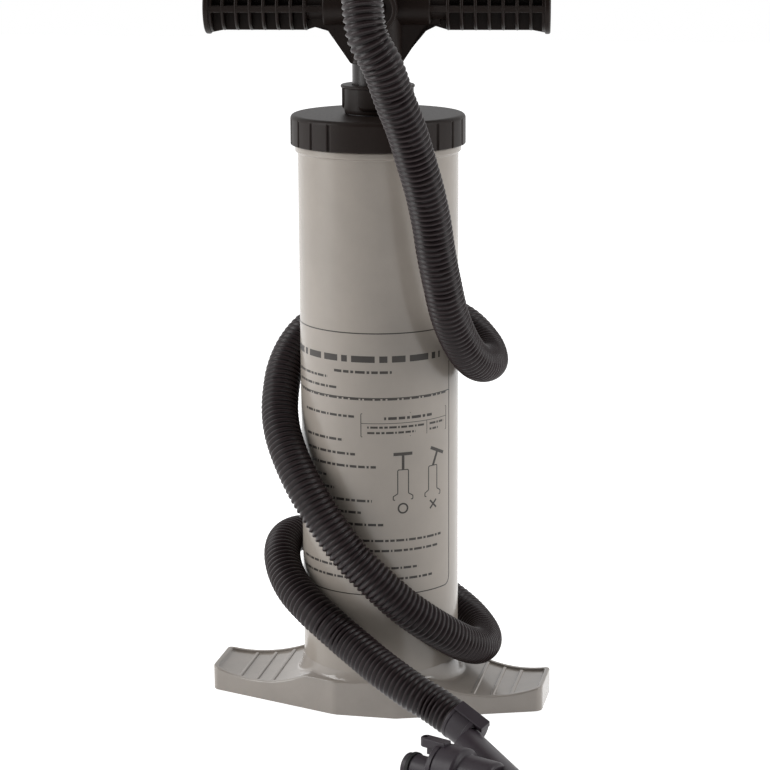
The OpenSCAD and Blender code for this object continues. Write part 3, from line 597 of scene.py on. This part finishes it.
# one closed skin, from the underside's middle out to the edge, over the treads and into the socket
rows = [np.repeat([[0, 0, plate_under]], len(outline), 0)]
within = foot_wall + 0.02
ceiling = np.minimum(barrel_r + 2.5, np.linalg.norm(outline - within * normal, axis=1))[:, None] * ray
for r, z in ((barrel_r - 1.5, plate_under), (barrel_r - 1.5, 0.3), (barrel_r - 1.2, 0)):
    rows.append(level_row(ray * r, z))
rows += [level_row(ceiling - 0.3 * ray, 0), level_row(ceiling, 0.3), level_row(ceiling, plate_under)]
for d, z in ((within, plate_under), (within, 0.3), (within - 0.3, 0), (0.8, 0), (0.5, 0),
             (0.15, 0.15), (0, 0.5), (0, 0.8)):
    rows.append(level_row(outline - d * normal, z))
for t in np.linspace(0, math.pi / 2, 6):
    p = moved_in(rim_round * (1 - math.cos(t)))
    rows.append(np.column_stack([p, tread_top(*p.T, 0) - rim_round * (1 - math.sin(t))]))
for d in (1.7, 2.6, 3.2, 3.5, 3.8, 4.1, 4.5, 5.2):
    p = moved_in(d)
    rows.append(np.column_stack([p, tread_top(*p.T, d)]))
inner, outer = ray * socket_r, moved_in(5.2)
for f in 1 - (1 - np.linspace(0, 1, 34)[1:]) ** 1.7:
    p = outer + (inner - outer) * f
    rows.append(np.column_stack([p, tread_top(*p.T, 9)]))
rows += [level_row(inner, socket_floor), level_row(inner * 0, socket_floor)]

# six air ports through the socket's floor and two notches under the back edge
ports = [laid(pin(port_r, 1, socket_floor - 0.1), at=port_ring * level_way(b))
         for b in np.radians(np.arange(0, 360, 60))]
notches = [slab(np.array([(x, 50), (x + notch_wide, 50), (x + notch_wide, 70), (x, 70)], float),
                -1, notch_high, 0.05) for x in notch_x]
base = drilled(shell("foot_base", np.stack(rows)), *ports, *notches)
boss_top = plate_under + 0.1
boss = turned(looped([(screw_r, boss_top, 0), (screw_r, head_under, 0), (screw_head, head_under, 0),
                      (screw_head, 0, 0.3), (screw_boss, 0, 0.4), (screw_boss, boss_top, 0)]), 40)
grids = [laid(boss, at=screw_ring * level_way(b)) for b in np.radians(np.arange(45, 360, 90))]
for s in (-1, 1):
    for x in ridge_x:
        half = half_width(x, rim_width + 0.6)
        bar = oblong(x - ridge_half, x + ridge_half, -half, half, 1.2)
        top = dish_z - math.sqrt(dish_r ** 2 - (x - dish_x) ** 2)
        grids.append(slab((bar * [s, 1])[::s], 8.5, top + ridge_proud, 0.9))
    for x in stiffener_x:
        half = half_width(x, foot_wall - 0.5)
        bar = oblong(s * x - stiffener_half, s * x + stiffener_half, -half, half, 0.3, 2)
        grids.append(slab(bar, 0.4, plate_under + 0.4, 0.2, 2))
    bar = oblong(s * long_mid - long_half, s * long_mid + long_half, -stiffener_half, stiffener_half, 0.3, 2)
    grids.append(slab(bar, 0.45, plate_under + 0.4, 0.2, 2))
foot = shell("foot", *grids, start=base)
grey_skin = finish("foot_grey", (0.362, 0.322, 0.285), (0.322, 0.288, 0.256), 0.22, 0.10, 700.0, 0.00001,
                   coat=0.3)
dress(foot, grey_skin, "pump_body", "foot_grey", "base_foot")


# ------------------------------------ barrel
# Extruded grey tube, 114 mm outside with a 3.5 mm wall, seated in the foot's socket.  A turned
# bead near its top stops the cap.
def low_and_high(part):
    """The lowest and highest height of a CAD node in millimetres."""
    return [round(corner[2] * 1000, 3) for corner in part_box(part)]


bead_r = 58.9
wall_r = barrel_r - 3.5
tube_low, tube_high = low_and_high("barrel_tube")
cap_low, cap_high = low_and_high("top_cap")
bead_low, bead_high = cap_low - 5.4, cap_low - 0.2
tube = rounded([
    (wall_r, tube_low, 0), (barrel_r, tube_low, 0.3), (barrel_r, bead_low, 1.2),
    (bead_r, bead_low + 0.6, 0.8), (bead_r, bead_high, 0.9), (barrel_r, bead_high, 0),
    (barrel_r, tube_high, 0.3), (wall_r, tube_high, 0.3), (wall_r, tube_low, 0)])
barrel = shell("barrel", turned(tube, 160))
tube_skin = finish("barrel_grey", (0.372, 0.330, 0.288), (0.345, 0.308, 0.270), 0.24, 0.12, 600.0, 0.000008)
dress(barrel, tube_skin, "pump_body", "barrel_grey", "barrel_tube")


# ------------------------------------ print on the barrel
# A one-colour pad print: a ruled frame with a heading space, rows of plain bars where a maker
# would put words, a small table, and two signs for the right and the wrong pull with O and X.
print_left, print_right, print_low, print_high, print_corner = -103, 72, 92.1, 282.9, 6
heading_rule = 236.6
table_left, table_right, table_low, table_split, table_high = -1.5, 67.4, 208.6, 218.4, 225.4
table_bend, table_column = 34, 47.5
sign_low, sign_tall, bar_half, mark_y, ring_x, cross_x = 162.3, 22, 7, 156, 28.3, 53.2
sign_ring, cross_half, cross_rise = 3.4, 2.9, 3
ink_low, ink_high = -0.1, 0.07


def on_barrel(flat, lift):
    """Flat points (millimetres round the barrel from the front, height) wrapped on its wall."""
    return round_barrel(np.degrees(flat[..., 0] / barrel_r), barrel_r + lift, flat[..., 1])


def stroke(path, width, closed=False):
    """A printed line of even width along a flat path: a skin with four sides, wrapped on the wall."""
    if closed:
        path = np.vstack([path, path[:1]])
        step = unit(np.roll(path[:-1], -1, 0) - np.roll(path[:-1], 1, 0))
        step = np.vstack([step, step[:1]])
    else:
        step = unit(np.gradient(path, axis=0))
    across = np.stack([-step[:, 1], step[:, 0]], 1) * width / 2
    rows = np.stack([on_barrel(path + across, ink_low), on_barrel(path + across, ink_high),
                     on_barrel(path - across, ink_high), on_barrel(path - across, ink_low)], 1)
    if closed:
        return rows
    tips = [np.repeat(rows[k].mean(0)[None, None], 4, 1) for k in (0, -1)]
    return np.vstack([tips[0], rows, tips[1]])


def straight(x0, y0, x1, y1):
    """Flat points along a straight line, close enough to follow the barrel."""
    n = int(np.hypot(x1 - x0, y1 - y0) // 3) + 2
    return np.stack([np.linspace(x0, x1, n), np.linspace(y0, y1, n)], 1)


def words(x0, x1, y, tall, rhythm):
    """A row of bars of uneven length, as long as words: the lengths follow a sine."""
    bars, x, k = [], x0, 0
    while x < x1:
        long = tall * (2.2 + 1.5 * math.sin(rhythm + 2.4 * k))
        bars.append(stroke(straight(x, y, min(x + long, x1), y), tall))
        x, k = x + long + 0.7 * tall, k + 1
    return bars


def sign(x, y, lean):
    """A small standing pump: a foot and barrel in outline, a rod, and a bar that may lean."""
    side = [(7.3, 0, 0.6), (7.3, 2.6, 0.6), (4, 4.6, 0.8), (4, sign_tall, 1)]
    body = rounded([(-7.3, 0, 0.6)] + side + [(-x, y, r) for x, y, r in side[:0:-1]], True, 3, 0.1)
    c, s = math.cos(math.radians(lean)), math.sin(math.radians(lean))
    grip = np.array([x + 11 * s, y + sign_tall + 11.5 * c])
    bar = np.array([bar_half * c, -bar_half * s])
    return [stroke(body + [x, y], 0.7, True), stroke(straight(x, y + sign_tall, *grip), 1.9),
            stroke(straight(*(grip - bar), *(grip + bar)), 2.3)]


left, right_edge = (math.radians(edge) * barrel_r for edge in (print_left, print_right))
frame_line = respaced(oblong(left, right_edge, print_low, print_high, print_corner, 6),
                      lambda whole: np.arange(0, whole, 3), 3)
marks = [stroke(frame_line, 0.8, True), stroke(straight(left, heading_rule, right_edge, heading_rule), 0.7)]
marks += sign(28.5, sign_low, 0) + sign(53, sign_low, 24)
around = np.radians(np.arange(0, 360, 15))
ring = np.stack([ring_x + sign_ring * np.cos(around), mark_y + sign_ring * np.sin(around)], 1)
marks.append(stroke(ring, 1.2, True))
for s in (1, -1):
    bar = straight(cross_x - cross_half, mark_y - s * cross_rise, cross_x + cross_half, mark_y + s * cross_rise)
    marks.append(stroke(bar, 1.3))
table = rounded([(table_left, table_low, 0.5), (table_bend, table_low, 0), (table_right, table_low, 0.5),
                 (table_right, table_high, 0.5), (table_bend, table_high, 0), (table_left, table_high, 0.5)],
                True, 2)
marks += [stroke(table, 0.5, True), stroke(straight(table_left, table_split, table_right, table_split), 0.4),
          stroke(straight(table_column, table_low, table_column, table_split), 0.4)]
# rows of bars: from, to, height on the barrel, tallness
for x0, x1, y, tall in [
        (-74, 60, 264.5, 4.6), (-22, 21, 255.2, 1.9), (-70, -28, 250, 1.7), (-66, -20, 243, 1.7),
        (-63, 67, 236, 1.9), (-54, -6.5, 223, 1.7), (15, 52, 222, 2.0), (3, 45, 215.6, 1.5),
        (3, 38, 211.6, 1.5), (50, 64, 215.6, 1.5), (50, 58, 211.6, 1.5), (-53, -15, 205.4, 1.8),
        (-51, -6, 195.6, 1.8), (-46, 9, 186.7, 1.8), (-42, -30, 178, 1.8), (-38, -23, 169.5, 1.8),
        (-36, 6, 161.8, 1.8), (-30, -2, 153, 1.8), (-26, 14, 144.3, 1.8), (-20, 61, 132.5, 1.7),
        (-20, 58, 125, 1.7), (-60, 40, 112, 1.7), (-60, 52, 104, 1.7)]:
    marks += words(x0, x1, y, tall, x0 + y)
print_marks = shell("barrel_print", *marks)
ink = finish("dark_ink", (0.036, 0.031, 0.028), (0.052, 0.045, 0.040), 0.42, 0.1, 1200.0, 0.000004,
             specular=0.35)
dress(print_marks, ink, "pump_body", "barrel_grey")


# ------------------------------------ cap
# Black screw cap, 124 mm across.  Eight narrow grip grooves on each side leave the front and
# back plain; three air holes at the back feed the upper intake.
cap_r, cap_bore, cap_under = 62, 22.3, cap_high - 4.4
groove_count, groove_step, groove_turn = 8, 15, 16
groove_half, groove_deep, groove_top = 1.0, 1.3, 2.6
hole_ring, hole_r = 36, 2.5
cap_edge = rounded([
    (cap_bore, cap_under, 0), (cap_bore, cap_high, 0.6), (cap_r, cap_high, 3.0), (cap_r + 0.05, cap_low, 0.7),
    (barrel_r + 0.2, cap_low, 0.4), (barrel_r + 0.2, cap_under, 0.3), (cap_bore, cap_under, 0)], steps=6)
side_row = groove_step * (np.arange(groove_count) - (groove_count - 1) / 2)
mid = np.concatenate([s * 180 + groove_turn + side_row for s in (0, 1)])
half_angle = math.degrees(groove_half / cap_r)
offsets = np.array([-2.2, -1.6, -1.15, -0.85, -0.5, 0, 0.5, 0.85, 1.15, 1.6, 2.2]) * half_angle
bearing = np.concatenate([(mid[:, None] + offsets).ravel() % 360, np.arange(0, 360, 3.0)])
bearing = np.unique(np.round(bearing, 3))
apart = np.abs((bearing[:, None] - mid[None] + 180) % 360 - 180).min(1) / half_angle
cut_in = groove_deep * np.clip((1.35 - apart) / 0.7, 0, 1)
cut_in = cut_in * cut_in * (3 * groove_deep - 2 * cut_in) / groove_deep ** 2
high = np.clip((cap_high - groove_top - cap_edge[:, 1]) / 0.8, 0, 1) * (cap_edge[:, 0] > cap_r - 1.6)


def round_skin(radius, height, bearing):
    """A skin about Z whose radius changes with the height and the bearing in degrees."""
    a = np.radians(bearing)[None]
    return np.stack([radius * np.cos(a), radius * np.sin(a), height[:, None] + 0 * a], -1)


cap = shell("cap", round_skin(cap_edge[:, :1] - high[:, None] * cut_in[None], cap_edge[:, 1], bearing), sharp=50)
drilled(cap, *[laid(pin(hole_r, cap_high - 9, cap_high + 1), at=hole_ring * level_way(b))
               for b in np.radians((60, 90, 120))])
black_skin = finish("cap_black", (0.0130, 0.0080, 0.0064), (0.0165, 0.0108, 0.0088), 0.44, 0.14, 800.0,
                    specular=0.16)
dress(cap, black_skin, "pump_body", "black_plastic", "top_cap")


# ------------------------------------ gland nut
# Black nut that holds the rod's seals down.  Four raised grip pads with rounded lower corners
# stand on its side, under a thin lip.
nut_low, nut_high = low_and_high("gland_nut")
nut_r, pad_r, lip_r, foot_r = 24.2, 25.4, 26.2, 23.6
nut_bore, nut_mouth, nut_floor = 22.05, 18.4, nut_low + 18.4
pad_half, pad_corner, pad_from, lip_tall = 9.8, 4, 3.6, 2
nut_foot = [(nut_bore, nut_floor), (nut_bore, nut_low), (foot_r - 0.3, nut_low), (foot_r, nut_low + 0.3),
            (foot_r, nut_low + 2.8)]
nut_side = [(nut_r, z) for z in np.linspace(nut_low + 2.8, nut_high - lip_tall, 18)]
nut_lip = rounded([
    (nut_r, nut_high - lip_tall, 0), (lip_r, nut_high - lip_tall, 0.5), (lip_r, nut_high, 0.9),
    (nut_mouth, nut_high, 0.5), (nut_mouth, nut_floor, 0), (nut_bore, nut_floor, 0)], steps=4)
nut_edge = np.vstack([nut_foot, nut_side, nut_lip])
pad_ends = [quarter + s * np.arange(19, 26, 0.6) for quarter in (0, 90, 180, 270) for s in (-1, 1)]
bearing = np.unique(np.concatenate([np.arange(0, 360, 3.0), *pad_ends]) % 360)
around = np.radians((bearing + 45) % 90 - 45) * pad_r
reach = np.abs(around)[None] - (pad_half - pad_corner)
drop = (nut_low + pad_from + pad_corner) - nut_edge[:, 1:]
inside = pad_corner - np.hypot(np.maximum(reach, 0), np.maximum(drop, 0)) - np.minimum(np.maximum(reach, drop), 0)
raised = np.clip(inside / 0.7 + 0.5, 0, 1)
raised = raised * raised * (3 - 2 * raised)
body_row = (np.abs(nut_edge[:, :1] - nut_r) < 0.01) & (nut_edge[:, 1:] < nut_high - 1.9)
radius = nut_edge[:, :1] + (pad_r - nut_r) * raised * body_row
gland = shell("gland_nut_shell", round_skin(radius, nut_edge[:, 1], bearing), sharp=50)
dress(gland, black_skin, "pump_body", "black_plastic", "gland_nut")


# ------------------------------------ rod
# Hollow black rod, 36 mm outside, drawn smooth.  It carries the piston at its foot and the
# handle on a spigot at its top.
rod_r, rod_bore, neck_r = 18, 12, 15
rod_low, rod_high = low_and_high("rod_tube")
hub_low, hub_high = low_and_high("handle")
piston_high = low_and_high("piston_head")[1]
stem = rounded([
    (rod_bore, rod_low, 0), (rod_r - 2, rod_low, 0.4), (rod_r - 2, piston_high, 0), (rod_r, piston_high, 0.5),
    (rod_r, hub_low, 0.4), (neck_r, hub_low, 0), (neck_r, rod_high, 0.4), (rod_bore, rod_high, 0.3),
    (rod_bore, rod_low, 0)], steps=3)
rod = shell("rod", turned(stem, 96))
rod_skin = finish("rod_black", (0.0145, 0.0108, 0.0098), (0.019, 0.0145, 0.0132), 0.28, 0.16, 500.0, 0.00001,
                  specular=0.26)
dress(rod, rod_skin, "plunger", "black_plastic", "rod_tube")


# ------------------------------------ handle
# Black T-handle in one moulding: a hub pinned to the rod, a solid root to each arm braced by a
# gusset, then a grip of thin round ribs on crossed webs that flares into an end flange.
handle_turn = math.radians(7)
grip_z, grip_reach = hub_low + 38, 121
rib_r, rib_count, rib_first, rib_step, rib_wide = 15.5, 7, 50, 9.6, 2.3
arm_r, arm_end, flange_r, flange_wide = 12.5, 38, 18, 3.8
screw_recess, recess_floor, boss_r, boss_half = 12.3, 17.5, 15.5, 21
hub_bore, hub_step = 12.05, hub_low + 48.5
web_half, flat_web_half, gusset_half, gusset_root = 2.3, 2, 4.5, 14
bolt_r, bolt_head, bolt_tip, bolt_top = 3, 7.1, -20, 21
rib_last = rib_first + rib_step * (rib_count - 1)
flange_x = grip_reach - flange_wide
hub = looped([(neck_r + 0.05, hub_low, 0.3), (rod_r, hub_low, 0.8), (rod_r, hub_high, 1.4),
              (hub_bore, hub_high, 0.4), (hub_bore, hub_step, 0), (neck_r + 0.05, hub_step, 0)], 4)
boss = rounded([
    (0, -recess_floor, 0), (screw_recess, -recess_floor, 0.6), (screw_recess, -boss_half, 0.7),
    (boss_r, -boss_half, 1.3), (boss_r, boss_half, 1.3), (screw_recess, boss_half, 0.7),
    (screw_recess, recess_floor, 0.6), (0, recess_floor, 0)], steps=4)
web = np.array([(28, 11.8), (arm_end + 2, 12.2), (rib_first, rib_r - 0.3), (rib_last + 1, rib_r - 0.3),
                (flange_x + 0.6, flange_r - 1)])
web = rounded([(*p, 0.6) for p in web] + [(x, -y, 0.6) for x, y in web[::-1]], True, 3)[::-1]
gusset = rounded([
    (gusset_root, hub_low + 0.6, 0), (rod_r, hub_low + 0.6, 1), (34.5, grip_z - 12.6, 5),
    (45, grip_z - 11.5, 0.5), (45, grip_z, 0.5), (gusset_root, grip_z, 0)], True, 5)
rib = rounded([(0, -rib_wide / 2, 0), (rib_r, -rib_wide / 2, 1.05), (rib_r, rib_wide / 2, 1.05),
               (0, rib_wide / 2, 0)], steps=4, lead=0.1)
flange = rounded([
    (0, flange_x, 0), (flange_r, flange_x, 0.9), (flange_r, grip_reach, 1.3), (13.5, grip_reach, 0.3),
    (13, grip_reach - 0.7, 0.3), (0, grip_reach - 0.7, 0)], steps=4, lead=0.2)
root = rounded([(0, 8, 0), (arm_r, 8, 0), (arm_r, arm_end, 1.6), (0, arm_end, 0)], steps=4)
core = rounded([(0, 30, 0), (8.5, 30, 0), (8.5, rib_first + 0.5, 0.5), (0, rib_first + 0.5, 0)], steps=3)
collar = rounded([(0, flange_x - 1.9, 0), (flange_r - 1.6, flange_x - 1.9, 0.4),
                  (flange_r - 1.6, flange_x + 0.2, 0), (0, flange_x + 0.2, 0)], steps=3)
middle = np.array([0, 0, grip_z])
front = np.array([math.sin(handle_turn), -math.cos(handle_turn), 0])
grids = [turned(hub), laid(turned(boss, 72), middle, z=front)]
for s in (-1, 1):
    out = s * level_way(handle_turn)
    flat = np.cross([0, 0, 1], out)
    for profile, sides in ((root, 64), (core, 48), (flange, 72), (collar, 64)):
        grids.append(laid(turned(profile, sides), middle, x=(0, 0, 1), z=out))
    for k in range(rib_count):
        grids.append(laid(turned(rib, 56), middle + out * (rib_first + rib_step * k), x=(0, 0, 1), z=out))
    grids.append(laid(slab(web, -web_half, web_half, 0.7), middle, x=out))
    grids.append(laid(slab(web, -flat_web_half, flat_web_half, 0.7), middle, x=out, z=flat))
    grids.append(laid(slab(gusset[::-1] if s < 0 else gusset, -gusset_half, gusset_half, 1.0, 4), x=out, z=-flat))
handle = shell("handle_moulding", *grids)
dress(handle, black_skin, "plunger", "black_plastic", "handle")
bolt = rounded([(0, bolt_tip, 0), (bolt_r, bolt_tip, 0.3), (bolt_r, recess_floor + 0.1, 0),
                (bolt_head, recess_floor + 0.1, 0.2), (bolt_head, bolt_top, 1.0), (0, bolt_top, 0)])
slot = slab(np.array([(-4.5, -0.6), (4.5, -0.6), (4.5, 0.6), (-4.5, 0.6)]), bolt_top - 1.2, bolt_top + 1, 0.02)
screw = drilled(shell("cross_screw", laid(turned(bolt, 48), middle, x=(0, 0, 1), z=front)),
                laid(slot, middle, x=level_way(handle_turn), z=front))
dress(screw, black_skin, "plunger", "black_plastic", "handle_screw")


# ------------------------------------ swivel elbow and upper cuff
# A black elbow snaps into the top of the hub and turns freely; a tapered rubber cuff with grip
# rings is moulded on the end of the hose and pushed over the elbow's spigot.
bend_r, elbow_r, elbow_bore, spigot_r, spigot_reach = 22, 12.5, 9, 12, 56
plug_low, shoulder_r, stop_r = -11.6, 15.5, 14.5
cuff_from, cuff_bore, hose_stop = 30, 12.1, 56.9
spout = round_barrel(np.array(outlet_turn), 1, 0)
rise, quarter = outlet_z - bend_r - hub_high, bend_r * math.pi / 2
bend_end, spigot_end = rise + quarter, rise + quarter + spigot_reach - bend_r


def elbow_line(s):
    """Points and directions of the elbow's centre line at lengths s above the hub: up, round a
    quarter circle, then level towards the outlet."""
    turned_by = np.clip((s - rise) / bend_r, 0, math.pi / 2)
    over = np.maximum(s - bend_end, 0)
    ahead = bend_r * (1 - np.cos(turned_by)) + over
    above = np.minimum(s, rise) + bend_r * np.sin(turned_by)
    point = ahead[:, None] * spout + np.stack([0 * s, 0 * s, hub_high + above], 1)
    direction = np.sin(turned_by)[:, None] * spout + np.cos(turned_by)[:, None] * [0, 0, 1]
    return point, direction


# outside and bore as (length along the centre line, radius)
track = np.vstack([
    rounded([(plug_low, elbow_bore, 0), (plug_low, 12.8, 0.8), (-9.8, 12, 0), (0.3, 12, 0),
             (0.3, shoulder_r, 0.5), (6.3, shoulder_r, 0.9), (6.3, elbow_r, 0.8), (rise, elbow_r, 0)]),
    [(rise + quarter * t, elbow_r) for t in np.linspace(0, 1, 14)],
    rounded([(bend_end, elbow_r, 0), (bend_end + 3, elbow_r, 0.5), (bend_end + 3, stop_r, 0.5),
             (bend_end + 7.5, stop_r, 0.5), (bend_end + 7.5, spigot_r, 0), (spigot_end, spigot_r, 0.8),
             (spigot_end, elbow_bore, 0.4)]),
    [(s, elbow_bore) for s in np.linspace(spigot_end, plug_low, 30)]])
point, direction = elbow_line(track[:, 0])
level_side = np.cross([0, 0, 1], spout)
a = np.linspace(0, 2 * np.pi, 64, endpoint=False)[None, :, None]
spokes = np.cos(a) * level_side + np.sin(a) * np.cross(direction, level_side)[:, None]
elbow = shell("swivel_elbow", point[:, None] + track[:, 1, None, None] * spokes)
dress(elbow, black_skin, "outlet", "black_plastic", "outlet_elbow")

cuff = rounded([
    (cuff_bore, hose_stop, 0), (cuff_bore, cuff_from, 0.4), (16, cuff_from, 0.8), (16, 35.5, 0.8),
    (15.2, 36.6, 0.4), (15.1, 40, 0.4), (15.9, 40.8, 0.4), (15.9, 43, 0.4), (15.0, 43.8, 0.4),
    (14.9, 47, 0.4), (15.6, 47.8, 0.4), (15.6, 50, 0.4), (14.8, 50.8, 0.4), (14.6, cuff_reach, 0.9),
    (hose_bore, cuff_reach, 0), (hose_bore, hose_stop, 0), (cuff_bore, hose_stop, 0)], steps=3)
upper = shell("upper_cuff_sleeve", laid(turned(cuff, 64), at=(0, 0, outlet_z), x=(0, 0, 1), z=spout))
cuff_skin = finish("cuff_rubber", (0.0175, 0.0122, 0.0130), (0.0235, 0.0175, 0.0185), 0.46, 0.12, 1400.0,
                   0.00003, specular=0.25)
dress(upper, cuff_skin, "outlet", "black_plastic", "upper_cuff")


# ------------------------------------ inner pieces, screws and seals
# What the barrel holds keeps its working shape: nylon bush and studs, rubber discs and rings,
# dark mouldings of the bulkheads and piston, and zinc-plated screws and clips.
rubber = finish("seal_rubber", (0.017, 0.017, 0.017), (0.026, 0.026, 0.026), 0.62, 0.15, 1600.0, 0.00004)
nylon = finish("bush_nylon", (0.62, 0.59, 0.52), (0.56, 0.53, 0.46), 0.38, 0.1, 700.0)
moulding = finish("dark_moulding", (0.045, 0.045, 0.048), (0.058, 0.058, 0.060), 0.42, 0.12, 900.0)
steel = finish("zinc_steel", (0.55, 0.55, 0.56), (0.47, 0.47, 0.49), 0.30, 0.25, 1200.0, 0.00001, metallic=1.0)
finishes = {
    "foot_grey": grey_skin, "barrel_grey": tube_skin, "black_plastic": black_skin, "dark_plastic": moulding,
    "hose_black": hose_skin, "seal_rubber": rubber, "bush_nylon": nylon, "screw_steel": steel}
for part in frame["record"]["subparts"]:
    cad = nodes[part["node"]]
    cad.data.materials.clear()
    cad.data.materials.append(finishes[part["material_slot"]])
